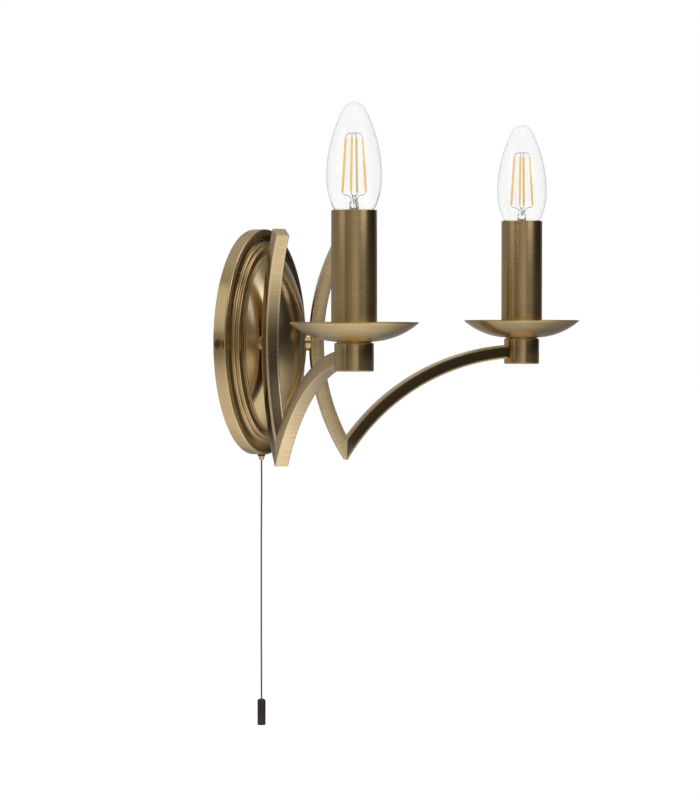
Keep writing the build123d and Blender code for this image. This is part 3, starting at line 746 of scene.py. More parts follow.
@dataclass(frozen=True)
class Moulding(Finish):
    """Moulded plastic, enamel or rubber."""

    colour: Colour = (0.5, 0.5, 0.5)
    roughness: float = 0.5
    grain_scale: float = 900.0
    depth: float = 0.05

    def dress(self, shading: Shading) -> None:
        """Set the moulded surface up with a fine pebble.

        Args:
            shading: The new material's nodes.
        """
        surface = shading.surface
        pebble = shading.noise(shading.place(False), self.grain_scale, 3.0, 0.5)
        wide = shading.noise(shading.place(False), 70.0, 2.0, 0.5)
        darker = tuple(part * 0.86 for part in self.colour)
        shading.link(shading.blend(wide, darker, self.colour), surface.inputs["Base Color"])
        shading.link(
            shading.stretch(pebble, self.roughness - 0.05, self.roughness + 0.06, 0.3, 0.7),
            surface.inputs["Roughness"],
        )
        shading.relief(pebble, self.depth, 0.00005)


@dataclass(frozen=True)
class ClearGlass(Finish):
    """Thin blown glass."""

    tint: Colour = (0.955, 0.96, 0.95)

    def dress(self, shading: Shading) -> None:
        """Set the glass up with a faint ripple from blowing.

        Args:
            shading: The new material's nodes.
        """
        surface = shading.surface
        surface.inputs["Transmission Weight"].default_value = 1.0
        surface.inputs["IOR"].default_value = 1.45
        ripple = shading.noise(shading.place(False, (1.0, 1.0, 0.35)), 90.0, 2.0, 0.4)
        colour = shading.blend(ripple, self.tint, (1.0, 1.0, 1.0))
        shading.link(colour, surface.inputs["Base Color"])
        shading.link(shading.stretch(ripple, 0.0, 0.02), surface.inputs["Roughness"])
        shading.relief(ripple, 0.10, 0.0002)


@dataclass(frozen=True)
class Phosphor(Finish):
    """The coated face of a filament stick."""

    colour: Colour = (0.90, 0.50, 0.06)
    pale: Colour = (0.95, 0.66, 0.20)

    def dress(self, shading: Shading) -> None:
        """Set the coating up: slightly uneven, as if dipped, with a faint painted glow.

        Args:
            shading: The new material's nodes.
        """
        surface = shading.surface
        beads = shading.noise(shading.place(False), 420.0, 2.0, 0.5)
        shading.link(shading.blend(beads, self.colour, self.pale), surface.inputs["Base Color"])
        # Painted glow: the coating gives off a faint light of its own.
        surface.inputs["Emission Color"].default_value = (*self.pale, 1.0)
        surface.inputs["Emission Strength"].default_value = 0.25
        shading.link(shading.stretch(beads, 0.35, 0.5), surface.inputs["Roughness"])
        shading.relief(beads, 0.2, 0.0001)


@dataclass(frozen=True)
class BraidedCord(Finish):
    """A thin plaited cord."""

    dark: Colour = (0.075, 0.016, 0.010)
    light: Colour = (0.27, 0.068, 0.042)

    def dress(self, shading: Shading) -> None:
        """Set the plait up from two crossing sets of strands.

        Args:
            shading: The new material's nodes.
        """
        surface = shading.surface
        coordinate = shading.node("ShaderNodeTexCoord").outputs["UV"]
        strands = []
        for lean in (1.0, -1.0):
            mapping = shading.node("ShaderNodeMapping")
            mapping.inputs["Scale"].default_value = (150.0, 4.0 * lean, 1.0)
            shading.link(coordinate, mapping.inputs["Vector"])
            wave = shading.node("ShaderNodeTexWave", wave_type="BANDS", bands_direction="DIAGONAL")
            wave.inputs["Scale"].default_value = 0.5
            wave.inputs["Distortion"].default_value = 0.6
            shading.link(mapping.outputs["Vector"], wave.inputs["Vector"])
            strands.append(wave.outputs["Fac"])
        plait = shading.reckon("MULTIPLY", *strands)
        shading.link(shading.blend(plait, self.dark, self.light), surface.inputs["Base Color"])
        shading.link(shading.stretch(plait, 0.65, 0.9), surface.inputs["Roughness"])
        surface.inputs["Sheen Weight"].default_value = 0.3
        shading.relief(plait, 0.5, 0.00012)


ARM_BRASS = AntiqueBrass(
    "antique_brass_arm",
    light=(0.84, 0.65, 0.37),
    brown=(0.60, 0.44, 0.22),
    roughness=(0.20, 0.28),
    stretch_along=0.6,
    relief=0.07,
    # Painted shade: the dark colour of the arms' brown wash and painted shade.
    left_brown=(0.062, 0.041, 0.018),
)
PLATE_BRASS = AntiqueBrass(
    "antique_brass_plate",
    light=(0.61, 0.455, 0.24),
    brown=(0.56, 0.405, 0.20),
    strokes_per_mm=1.2,
    roughness=(0.19, 0.21),
    stretch_along=0.0,
    relief=0.0,
    # Painted shade: the dark colour of the plate's brown wash and painted shade.
    left_brown=(0.10, 0.068, 0.034),
)
PAN_BRASS = AntiqueBrass(
    "antique_brass_pan",
    light=(0.60, 0.45, 0.22),
    roughness=(0.22, 0.30),
    stretch_along=0.5,
    relief=0.05,
)
CUP_BRASS = AntiqueBrass(
    "antique_brass_cup", roughness=(0.12, 0.17), stretch_along=0.3, relief=0.02
)
TUBE_BRASS = AntiqueBrass(
    "antique_brass_tube",
    light=(0.55, 0.385, 0.185),
    brown=(0.44, 0.29, 0.13),
    roughness=(0.25, 0.29),
    stretch_along=0.6,
    relief=0.0,
)
SCREW_BRASS = PlainMetal(
    "antique_brass_screw", colour=(0.22, 0.145, 0.065), roughness=0.34, mottle=0.4
)
GLAND_BRASS = PlainMetal("satin_brass_gland", colour=(0.62, 0.42, 0.17), roughness=0.30)
CONTACT_BRASS = PlainMetal("plain_brass_contact", colour=(0.75, 0.58, 0.28), roughness=0.28)
ZINC = PlainMetal("zinc_plate", colour=(0.58, 0.58, 0.57), roughness=0.36)
SPRING_STEEL = PlainMetal("spring_steel", colour=(0.55, 0.55, 0.55), roughness=0.25, mottle=0.1)
CAP_NICKEL = PlainMetal("nickel_cap", colour=(0.68, 0.67, 0.65), roughness=0.28, mottle=0.12)
LEAD_WIRE = PlainMetal("lead_wire", colour=(0.34, 0.31, 0.28), roughness=0.32, mottle=0.2)
BLOCK_NYLON = Moulding("white_nylon", colour=(0.78, 0.78, 0.75), roughness=0.55)
SWITCH_BLACK = Moulding("switch_black", colour=(0.03, 0.03, 0.032), roughness=0.45)
HOLDER_CREAM = Moulding("holder_cream", colour=(0.72, 0.70, 0.64), roughness=0.5)
WASHER_RUBBER = Moulding("washer_rubber", colour=(0.035, 0.028, 0.022), roughness=0.7)
TOGGLE_BROWN = Moulding(
    "toggle_brown", colour=(0.026, 0.015, 0.009), roughness=0.34, grain_scale=500.0
)
INSULATOR = Moulding("black_glass", colour=(0.012, 0.012, 0.014), roughness=0.12, depth=0.01)
SUBSTRATE = Moulding("pale_substrate", colour=(0.86, 0.70, 0.52), roughness=0.5)
GLASS = ClearGlass("clear_glass")
PHOSPHOR = Phosphor("phosphor")
CORD = BraidedCord("braided_cord")


# ------------------------------------------------------------------ the plate


@dataclass
class Backplate:
    """The pressed oval plate: a rim, a cove, three rings and a dome."""

    half_width: float = 55.5
    half_height: float = 78.5
    sheet: float = 1.0
    rim_depth: float = 9.5
    rim_edge: float = 1.2
    cove_sink: float = 0.4
    ring_insets: tuple[float, float, float] = (8.7, 11.2, 16.0)
    ring_rises: tuple[float, float, float] = (1.9, 2.0, 2.1)
    ring_edges: tuple[float, float, float] = (1.0, 0.8, 0.7)
    dome_inset: float = 16.9
    dome_rise: float = 19.0
    crease: float = 0.35
    corners: int = 192
    cove_steps: int = 8
    dome_steps: int = 36
    grain_radius: float = 40.0
    # Painted shade: the cove's and the dome band's share of brown wash and painted shade, at the
    # bottom and at the top.
    cove_brown: tuple[float, float] = (0.30, 0.65)
    band_brown: tuple[float, float] = (0.72, 0.57)
    band_inset: float = 0.6

    def section(self) -> list[tuple[float, float, float]]:
        """The plate's outer face from the wall to its middle.

        Returns:
            Half width, half height and depth of one oval after another.
        """
        ovals: list[tuple[float, float, float]] = []

        def oval(inset: float, depth: float) -> None:
            """Add an oval this far in from the rim and this deep."""
            ovals.append((self.half_width - inset, self.half_height - inset, depth))

        def shoulder(inset: float, depth: float, radius: float) -> None:
            """Round a ring's outer edge over.

            Args:
                inset: How far in from the rim the ring's wall stands.
                depth: The depth of the ring's face.
                radius: The rounding's radius.
            """
            for step in range(7):
                angle = math.radians(90.0 * step / 6)
                oval(inset + radius * (1 - math.cos(angle)), depth - radius * (1 - math.sin(angle)))

        def foot(inset: float, depth: float) -> None:
            """Round the corner at a ring's foot.

            Args:
                inset: How far in from the rim the ring's wall stands.
                depth: The depth of the face that it stands on.
            """
            for step in range(5):
                angle = math.radians(90.0 * step / 4)
                back, rise = 1 - math.sin(angle), 1 - math.cos(angle)
                oval(inset - self.crease * back, depth + self.crease * rise)

        oval(0.0, 0.0)
        oval(0.0, self.rim_depth * 0.5)
        shoulder(0.0, self.rim_depth, self.rim_edge)
        cove = self.ring_insets[0] - self.crease - self.rim_edge
        for step in range(1, self.cove_steps):
            sink = self.cove_sink * math.sin(math.pi * step / self.cove_steps)
            oval(self.rim_edge + cove * step / self.cove_steps, self.rim_depth - sink)
        depth = self.rim_depth
        for inset, rise, edge in zip(self.ring_insets, self.ring_rises, self.ring_edges):
            foot(inset, depth)
            depth += rise
            shoulder(inset, depth, edge)
        width, height = self.half_width - self.dome_inset, self.half_height - self.dome_inset
        radius = (height**2 + self.dome_rise**2) / (2 * self.dome_rise)
        for step in range(self.dome_steps):
            share = 1.0 - step / self.dome_steps
            rise = math.sqrt(radius**2 - (height * share) ** 2) - (radius - self.dome_rise)
            ovals.append((width * share, height * share, depth + rise))
        return ovals

    def press(self) -> bpy.types.Object:
        """Extrude and draw in an oval edge, step by step, to the middle.

        Returns:
            The plate with its sheet's thickness, in metres.
        """
        clear_selection()
        bpy.ops.mesh.primitive_circle_add(
            vertices=self.corners, radius=1.0, location=(0, 0, 0), rotation=(math.pi / 2, 0, 0)
        )
        piece = bpy.context.object
        piece.name = piece.data.name = "plate_pressing"
        bake_place(piece)
        edit(piece)
        ovals = self.section()
        width, height, depth = ovals[0]
        bpy.ops.transform.resize(value=(width, 1.0, height), center_override=(0, 0, 0))
        for wide, high, deep in ovals[1:]:
            bpy.ops.mesh.extrude_edges_move(TRANSFORM_OT_translate={"value": (0, depth - deep, 0)})
            draw_in = (wide / width, 1.0, high / height)
            bpy.ops.transform.resize(value=draw_in, center_override=(0, 0, 0))
            width, height, depth = wide, high, deep
        bpy.ops.mesh.merge(type="CENTER")
        millimetres(piece)
        close_up(piece)
        self.turn_outwards(piece)
        finish_modifier(piece, "SOLIDIFY", thickness=self.sheet / 1000.0, offset=-1.0)
        take_up(piece)
        bpy.ops.object.shade_smooth_by_angle(angle=math.radians(32))
        map_grain(piece, self.grain, around=2 * math.pi * self.grain_radius)
        # Painted shade: the plate gets its brown wash and painted shade.
        brown_down(piece, lambda point: (0.0, 0.0), self.brown)
        return piece

    def inset_of(self, point: Vector) -> float:
        """How far in from the rim a point lies.

        Args:
            point: The point, in millimetres.

        Returns:
            The inset of the oval that it lies on.
        """
        low, high = -1.0, self.dome_inset + 4.0
        for _ in range(14):
            inset = (low + high) / 2
            across, up = point.x / (self.half_width - inset), point.z / (self.half_height - inset)
            low, high = (inset, high) if across * across + up * up < 1.0 else (low, inset)
        return inset

    def brown(self, point: Vector, normal: Vector) -> float:
        """How much brown wash and painted shade the plate gets: in its cove, more towards the top,
        and in the band round the dome, more towards the bottom.

        Args:
            point: A point in millimetres.
            normal: The face's normal, which makes no difference here.

        Returns:
            The share of brown wash and painted shade, from 0 to 1.
        """
        inset = self.inset_of(point)
        cove = hump(inset, self.rim_edge, self.ring_insets[0])
        band_start, band_end = (edge + self.band_inset for edge in self.ring_insets[1:])
        band = hump(inset, band_start, band_end)
        # Painted shade: the share changes from the plate's bottom to its top.
        upper = 0.5 + 0.5 * point.z / self.half_height
        shares = [low + (high - low) * upper for low, high in (self.cove_brown, self.band_brown)]
        return cove * shares[0] + band * shares[1]

    def turn_outwards(self, piece: bpy.types.Object) -> None:
        """Face an open pressing to the room.

        Args:
            piece: The pressing before it gets its thickness.
        """
        middle = min(piece.data.polygons, key=lambda face: face.center.y)
        if middle.normal.y > 0:
            edit(piece)
            bpy.ops.mesh.flip_normals()
            bpy.ops.object.mode_set(mode="OBJECT")

    def grain(self, point: Vector) -> tuple[float, float]:
        """Strokes that run round the oval.

        Args:
            point: A point in millimetres.

        Returns:
            The distance in from the rim and the distance round.
        """
        angle = math.atan2(point.z / self.half_height, point.x / self.half_width)
        reach = math.hypot(point.x / self.half_width, point.z / self.half_height)
        return reach * self.half_width - point.y, angle * self.grain_radius

    def build(self) -> None:
        """Press and dress the plate."""
        carry(self.press(), PLATE_BRASS, "fixture", ["backplate"])


# ------------------------------------------------------------------ the arms


@dataclass
class Arm:
    """One arm: a bow and a sweep of square bar that meet in a V, on a boss."""

    side: Side
    turn: float = 38.5
    offset: float = 32.0
    standoff: float = 31.0
    bar: float = 9.5
    bar_round: float = 0.75
    bow_radius: float = 147.0
    bow_top: float = 75.0
    sweep_radius: float = 152.0
    cup_reach: float = 148.0
    cup_entry: float = -7.0
    tip_blunt: float = 1.3
    boss_diameter: float = 12.4
    boss_length: float = 15.0
    bow_end: float = 218.0
    sweep_start: float = 160.0
    sweep_end: float = 86.5
    fork_top: float = -52.0
    point_top: float = -76.0
    # Painted shade: where the left bow's brown wash and painted shade start and grow, where they
    # lighten near the V, and how wide the right bow's painted shade about the boss is.
    brown_from: float = 46.0
    brown_run: float = 80.0
    rubbed_from: float = -56.0
    rubbed_run: float = 16.0
    boss_shade: float = 20.0
    # Painted shade: where the right sweep's brown wash and painted shade start to grow, and over
    # what height.
    sweep_brown_from: float = -84.0
    sweep_brown_run: float = 20.0

    @property
    def out(self) -> Vector:
        """The level direction that the arm runs out in."""
        angle = math.radians(self.turn)
        return Vector((self.side.value * math.sin(angle), -math.cos(angle), 0.0))

    @property
    def across(self) -> Vector:
        """The level direction square to the arm's plane."""
        return self.out.cross(Vector((0, 0, 1)))

    @property
    def root(self) -> Vector:
        """The middle of the bow at its half height."""
        return Vector((self.side.value * self.offset, -self.standoff, 0.0))

    @property
    def cup_axis(self) -> Vector:
        """A point on the cup's axis."""
        return self.root + self.out * self.cup_reach

    def point(self, reach: float, height: float) -> Vector:
        """A point of the arm's plane.

        Args:
            reach: How far out along the arm.
            height: How high.

        Returns:
            The point, in millimetres.
        """
        return self.root + self.out * reach + Vector((0, 0, height))

    @property
    def bow_centre(self) -> Vector:
        """The centre of the bow's curve."""
        return self.point(self.bow_radius, 0.0)

    @property
    def sweep_centre(self) -> Vector:
        """The centre of the sweep's curve."""
        return self.point(self.cup_reach, self.cup_entry - self.sweep_radius)

    def crossing(self, bow_radius: float, sweep_radius: float) -> Point2:
        """Where a curve about the bow's centre meets one about the sweep's.

        Args:
            bow_radius: The first curve's radius.
            sweep_radius: The second curve's radius.

        Returns:
            Its reach and height in the arm's plane.
        """
        bow = Vector((self.bow_radius, 0.0))
        sweep = Vector((self.cup_reach, self.cup_entry - self.sweep_radius))
        gap = (sweep - bow).length
        along = (bow_radius**2 - sweep_radius**2 + gap**2) / (2 * gap)
        beside = math.sqrt(bow_radius**2 - along**2)
        forward = (sweep - bow).normalized()
        found = bow + forward * along + Vector((forward.y, -forward.x)) * beside
        return found.x, found.y

    @property
    def tip(self) -> Point2:
        """The sharp outer point of the V."""
        return self.crossing(self.bow_radius + self.bar / 2, self.sweep_radius - self.bar / 2)

    @property
    def fork(self) -> Point2:
        """The inner point of the V."""
        return self.crossing(self.bow_radius - self.bar / 2, self.sweep_radius + self.bar / 2)

    def bend(
        self, name: str, centre: Vector, radius: float, start: float, sweep_by: float
    ) -> bpy.types.Object:
        """Bend a length of rounded square bar about a centre.

        Args:
            name: The new piece's name.
            centre: The centre of its curve, in millimetres.
            radius: The radius of its middle line.
            start: Where it starts, in degrees from straight out.
            sweep_by: How far it bends, in degrees, upwards from straight out.

        Returns:
            The bent bar, in millimetres, open for editing.
        """
        angle = math.radians(start)
        radial = self.out * math.cos(angle) + Vector((0, 0, math.sin(angle)))
        along = Vector((0, 0, math.cos(angle))) - self.out * math.sin(angle)
        place = centre + radial * radius
        clear_selection()
        bpy.ops.mesh.primitive_plane_add(size=self.bar, location=(0, 0, 0))
        piece = bpy.context.object
        piece.name = piece.data.name = name
        frame = Matrix((radial, self.across, along)).transposed().to_4x4()
        piece.matrix_world = Matrix.Translation(place) @ frame
        bake_place(piece)
        edit(piece)
        bpy.ops.mesh.bevel(
            offset=self.bar_round, offset_type="OFFSET", segments=5, affect="VERTICES"
        )
        bpy.ops.mesh.select_all(action="SELECT")
        bpy.ops.mesh.spin(steps=72, angle=math.radians(sweep_by), center=centre, axis=-self.across)
        return piece

    def cut(self, piece: bpy.types.Object, at: Vector, facing: Vector, below: float) -> None:
        """Saw the lower end of a bar off flat and close it.

        Args:
            piece: The bar, open for editing.
            at: A point on the saw's plane, in millimetres.
            facing: The side that is taken away.
            below: The height that the faces to cut lie under.
        """
        choose_faces(piece, lambda centre, normal: centre.z < below)
        bpy.ops.mesh.bisect(
            plane_co=at, plane_no=facing, use_fill=True, clear_outer=True, threshold=0.0001
        )

    def soften_end(self, piece: bpy.types.Object, at: Vector, facing: Vector, width: float) -> None:
        """Round the edge of an end face.

        Args:
            piece: The bar, open for editing.
            at: A point on the end, in millimetres.
            facing: The end's normal.
            width: How wide the rounding is.
        """
        choose_faces(piece, lambda centre, normal: abs((centre - at).dot(facing)) < 0.05)
        bpy.ops.mesh.bevel(offset=width, offset_type="OFFSET", segments=3, affect="EDGES")

    def bow(self) -> bpy.types.Object:
        """The bow, from its sawn top to the mitre.

        Returns:
            The finished bow, in metres.
        """
        top = 180.0 - math.degrees(math.asin(self.bow_top / self.bow_radius))
        name, centre, radius = f"{self.side.word}_bow_bar", self.bow_centre, self.bow_radius
        piece = self.bend(name, centre, radius, top, self.bow_end - top)
        self.mitre(piece, keep=-1.0)
        angle = math.radians(top)
        ending = centre + (self.out * math.cos(angle) + Vector((0, 0, math.sin(angle)))) * radius
        facing = self.out * math.sin(angle) - Vector((0, 0, math.cos(angle)))
        self.soften_end(piece, ending, facing, 0.45)
        millimetres(piece)
        close_up(piece, 40.0)
        map_grain(piece, self.bar_grain(centre, radius))
        # Painted shade: the bow gets its brown wash and painted shade.
        brown_down(piece, self.bar_section(centre, radius), self.bow_brown)
        return piece

    def mitre(self, piece: bpy.types.Object, keep: float) -> None:
        """Cut a bar's lower end on the V's mitre and grind the point off.

        Args:
            piece: The bent bar, in millimetres.
            keep: Minus one for the half on the wall's side, plus one for the other.
        """
        tip, fork = self.point(*self.tip), self.point(*self.fork)
        line = (fork - tip).normalized()
        facing = line.cross(self.across) * -keep
        if facing.dot(self.out) * keep > 0:
            facing = -facing
        edit(piece)
        self.cut(piece, tip, facing, self.fork_top)
        self.cut(piece, tip + line * self.tip_blunt, -line, self.point_top)

    def sweep(self) -> bpy.types.Object:
        """The sweep, from the mitre into the cup's side.

        Returns:
            The finished sweep, in metres.
        """
        name, centre, radius = f"{self.side.word}_sweep_bar", self.sweep_centre, self.sweep_radius
        piece = self.bend(name, centre, radius, self.sweep_start, self.sweep_end - self.sweep_start)
        self.mitre(piece, keep=1.0)
        millimetres(piece)
        close_up(piece, 40.0)
        map_grain(piece, self.bar_grain(centre, radius))
        # Painted shade: the sweep gets its brown wash and painted shade.
        brown_down(piece, self.bar_section(centre, radius), self.sweep_brown)
        return piece

    def bar_grain(self, centre: Vector, radius: float) -> Grain:
        """Strokes that run across a bent bar.

        Args:
            centre: The centre of the bar's curve.
            radius: The radius of its middle line.

        Returns:
            The grain: u along the bar and v across it.
        """

        def grain(point: Vector) -> tuple[float, float]:
            """Read the grain at a point.

            Args:
                point: The point, in millimetres.

            Returns:
                The distance along the bar and the distance across it.
            """
            local = point - centre
            reach = local.dot(self.out)
            angle = math.atan2(local.z, reach) % (2 * math.pi)
            away = math.hypot(reach, local.z) - radius
            return angle * radius, local.dot(self.across) + away * 0.8

        return grain

    def bar_section(self, centre: Vector, radius: float) -> Grain:
        """A point's place in the section of a bent bar.

        Args:
            centre: The centre of the bar's curve.
            radius: The radius of its middle line.

        Returns:
            The place: across the arm's plane and away from the curve's centre.
        """

        def section(point: Vector) -> tuple[float, float]:
            """Find a point's place in the section."""
            local = point - centre
            return local.dot(self.across), math.hypot(local.dot(self.out), local.z) - radius

        return section

    def bow_brown(self, point: Vector, normal: Vector) -> float:
        """How much brown wash and painted shade the bow gets: the left one more on the way down but
        less at the V, the right one most about the boss's height.

        Args:
            point: A point in millimetres.
            normal: The face's normal, which makes no difference here.

        Returns:
            The share of brown wash and painted shade, from 0 to about 1.
        """
        if self.side is Side.RIGHT:
            # Painted shade: the right bow darkens about the boss's height.
            return 0.08 + 0.42 * math.exp(-((point.z / self.boss_shade) ** 2))
        # Painted shade: the left bow darkens further down and lightens again near the V.
        down = min(1.0, max(0.0, (self.brown_from - point.z) / self.brown_run))
        near_v = min(1.0, max(0.0, (self.rubbed_from - point.z) / self.rubbed_run))
        return (0.16 + 1.04 * down**0.8) * (1.0 - 0.5 * near_v)

    def sweep_brown(self, point: Vector, normal: Vector) -> float:
        """How much brown wash and painted shade the sweep gets: on its sides only, the right one's
        more, and more above the V.

        Args:
            point: A point in millimetres.
            normal: The face's normal.

        Returns:
            The share of brown wash and painted shade, from 0 to about 1.
        """
        # Painted shade: only the faces that look across the arm's plane are darkened.
        side = abs(normal.dot(self.across)) ** 4
        rise = min(1.0, max(0.0, (point.z - self.sweep_brown_from) / self.sweep_brown_run))
        return side * (0.15 if self.side is Side.LEFT else 0.6 + 0.55 * rise)

    def boss(self) -> bpy.types.Object:
        """The round boss between the bow's back and the plate.

        Returns:
            The finished boss, in metres.
        """
        half = self.boss_diameter / 2
        outline = Outline().to((0.0, 0.0), (half - 0.5, 0.0)).arc((half - 0.5, 0.5), -90, 0, 0.5, 4)
        outline.to((half, self.boss_length), (0.0, self.boss_length))
        piece = turn_on_lathe(f"{self.side.word}_boss_turning", outline, Vector((0, 0, 0)), 64)
        back = self.root - self.out * (self.bar / 2)
        frame = Matrix((self.across, Vector((0, 0, 1)), -self.out)).transposed().to_4x4()
        piece.matrix_world = Matrix.Translation(back * 0.001) @ frame
        bake_place(piece)
        edit(piece)
        bpy.ops.mesh.normals_make_consistent(inside=False)
        bpy.ops.object.mode_set(mode="OBJECT")

        def grain(point: Vector) -> tuple[float, float]:
            """Read the grain at a point."""
            local = point - back
            return -local.dot(self.out), math.atan2(local.z, local.dot(self.across)) * half

        map_grain(piece, grain, around=2 * math.pi * half)
        return piece

    def build(self) -> None:
        """Bend, mitre and dress both bars, and turn the boss."""
        word = self.side.word
        carry(self.bow(), ARM_BRASS, "fixture", [f"{word}_bow"])
        carry(self.sweep(), ARM_BRASS, "fixture", [f"{word}_sweep"])
        carry(self.boss(), CUP_BRASS, "fixture", [f"{word}_boss"])


# ------------------------------------------------------------------ cups, pans and candle tubes


@dataclass
class CandleStand:
    """What stands on an arm's end: the cup, the drip pan and the candle tube."""

    side: Side
    axis: Vector
    cup_diameter: float = 25.0
    cup_bottom: float = -16.0
    cup_top: float = 2.0
    cup_edge: float = 0.8
    pan_diameter: float = 82.0
    pan_depth: float = 11.9
    pan_flat: float = 9.0
    pan_sheet: float = 1.0
    foot_diameter: float = 22.0
    foot_height: float = 0.6
    hole: float = 10.0
    hole_depth: float = 12.0
    lip: float = 0.42
    tube_diameter: float = 29.0
    tube_sheet: float = 1.0
    tube_top: float = 85.5
    tube_edge: float = 0.25

    def cup(self) -> bpy.types.Object:
        """The turned cup, with the hole for its threaded tube.

        Returns:
            The finished cup, in metres.
        """
        half, edge, hole = self.cup_diameter / 2, self.cup_edge, self.hole / 2
        outline = Outline().to((0.0, self.cup_bottom))
        outline.arc((half - edge, self.cup_bottom + edge), -90, 0, edge, 6)
        outline.arc((half - edge, self.cup_top - edge), 0, 90, edge, 6)
        foot = self.cup_top - self.hole_depth
        outline.to((hole, self.cup_top), (hole, foot), (0.0, foot))
        piece = turn_on_lathe(f"{self.side.word}_cup_turning", outline, self.axis, 96)
        map_grain(piece, upright_grain(self.axis), around=2 * math.pi * ROUND_GRAIN)
        return piece

    @property
    def pan_radius(self) -> float:
        """The radius of the pan's curve."""
        run = self.pan_diameter / 2 - self.pan_flat
        return (run**2 + self.pan_depth**2) / (2 * self.pan_depth)

    def pan(self) -> bpy.types.Object:
        """The spun drip pan, on its narrow foot.

        Returns:
            The finished pan, in metres.
        """
        under = self.cup_top + self.foot_height
        radius = self.pan_radius
        centre = (self.pan_flat, under + radius)
        outer_end = math.degrees(math.asin((self.pan_diameter / 2 - self.pan_flat) / radius)) - 90.0
        foot, hole, sheet = self.foot_diameter / 2, self.hole / 2, self.pan_sheet
        foot_angle = math.degrees(math.asin((foot - self.pan_flat) / radius)) - 90.0
        outline = Outline().to((hole, self.cup_top), (foot, self.cup_top))
        trim = math.degrees(self.lip / radius)
        outline.arc(centre, foot_angle, outer_end - trim, radius, 28)
        middle = radius - sheet / 2
        for step in range(1, 8):
            turn = math.radians(180.0 * step / 8)
            along = math.radians(outer_end - trim) + math.sin(turn) * self.lip / radius
            reach = middle + sheet / 2 * math.cos(turn)
            outline.to((centre[0] + reach * math.cos(along), centre[1] + reach * math.sin(along)))
        outline.arc(centre, outer_end - trim, -90.0, radius - sheet, 28)
        outline.to((hole, under + sheet), (hole, self.cup_top))
        piece = turn_on_lathe(f"{self.side.word}_pan_spinning", outline, self.axis, 144)
        map_grain(piece, upright_grain(self.axis), around=2 * math.pi * ROUND_GRAIN)
        return piece

    def tube(self) -> bpy.types.Object:
        """The candle tube, standing in the pan.

        Returns:
            The finished tube, in metres.
        """
        half, sheet = self.tube_diameter / 2, self.tube_sheet
        under = self.cup_top + self.foot_height
        inner = self.pan_radius - self.pan_sheet
        foot = under + self.pan_radius - math.sqrt(inner**2 - (half - self.pan_flat) ** 2)
        edge = self.tube_edge
        outline = Outline().to((half - sheet, foot), (half, foot))
        outline.to((half, (foot + self.tube_top) / 2))
        outline.arc((half - edge, self.tube_top - edge), 0, 90, edge, 4)
        outline.arc((half - sheet + edge, self.tube_top - edge), 90, 180, edge, 4)
        outline.to((half - sheet, foot))
        piece = turn_on_lathe(f"{self.side.word}_tube_drawing", outline, self.axis, 112)
        map_grain(piece, upright_grain(self.axis), around=2 * math.pi * ROUND_GRAIN)
        return piece

    def build(self) -> None:
        """Make and dress the stand's three visible pieces."""
        word = self.side.word
        carry(self.cup(), CUP_BRASS, "fixture", [f"{word}_cup"])
        carry(self.pan(), PAN_BRASS, "fixture", [f"{word}_drip_pan"])
        carry(self.tube(), TUBE_BRASS, "fixture", [f"{word}_candle_tube"])


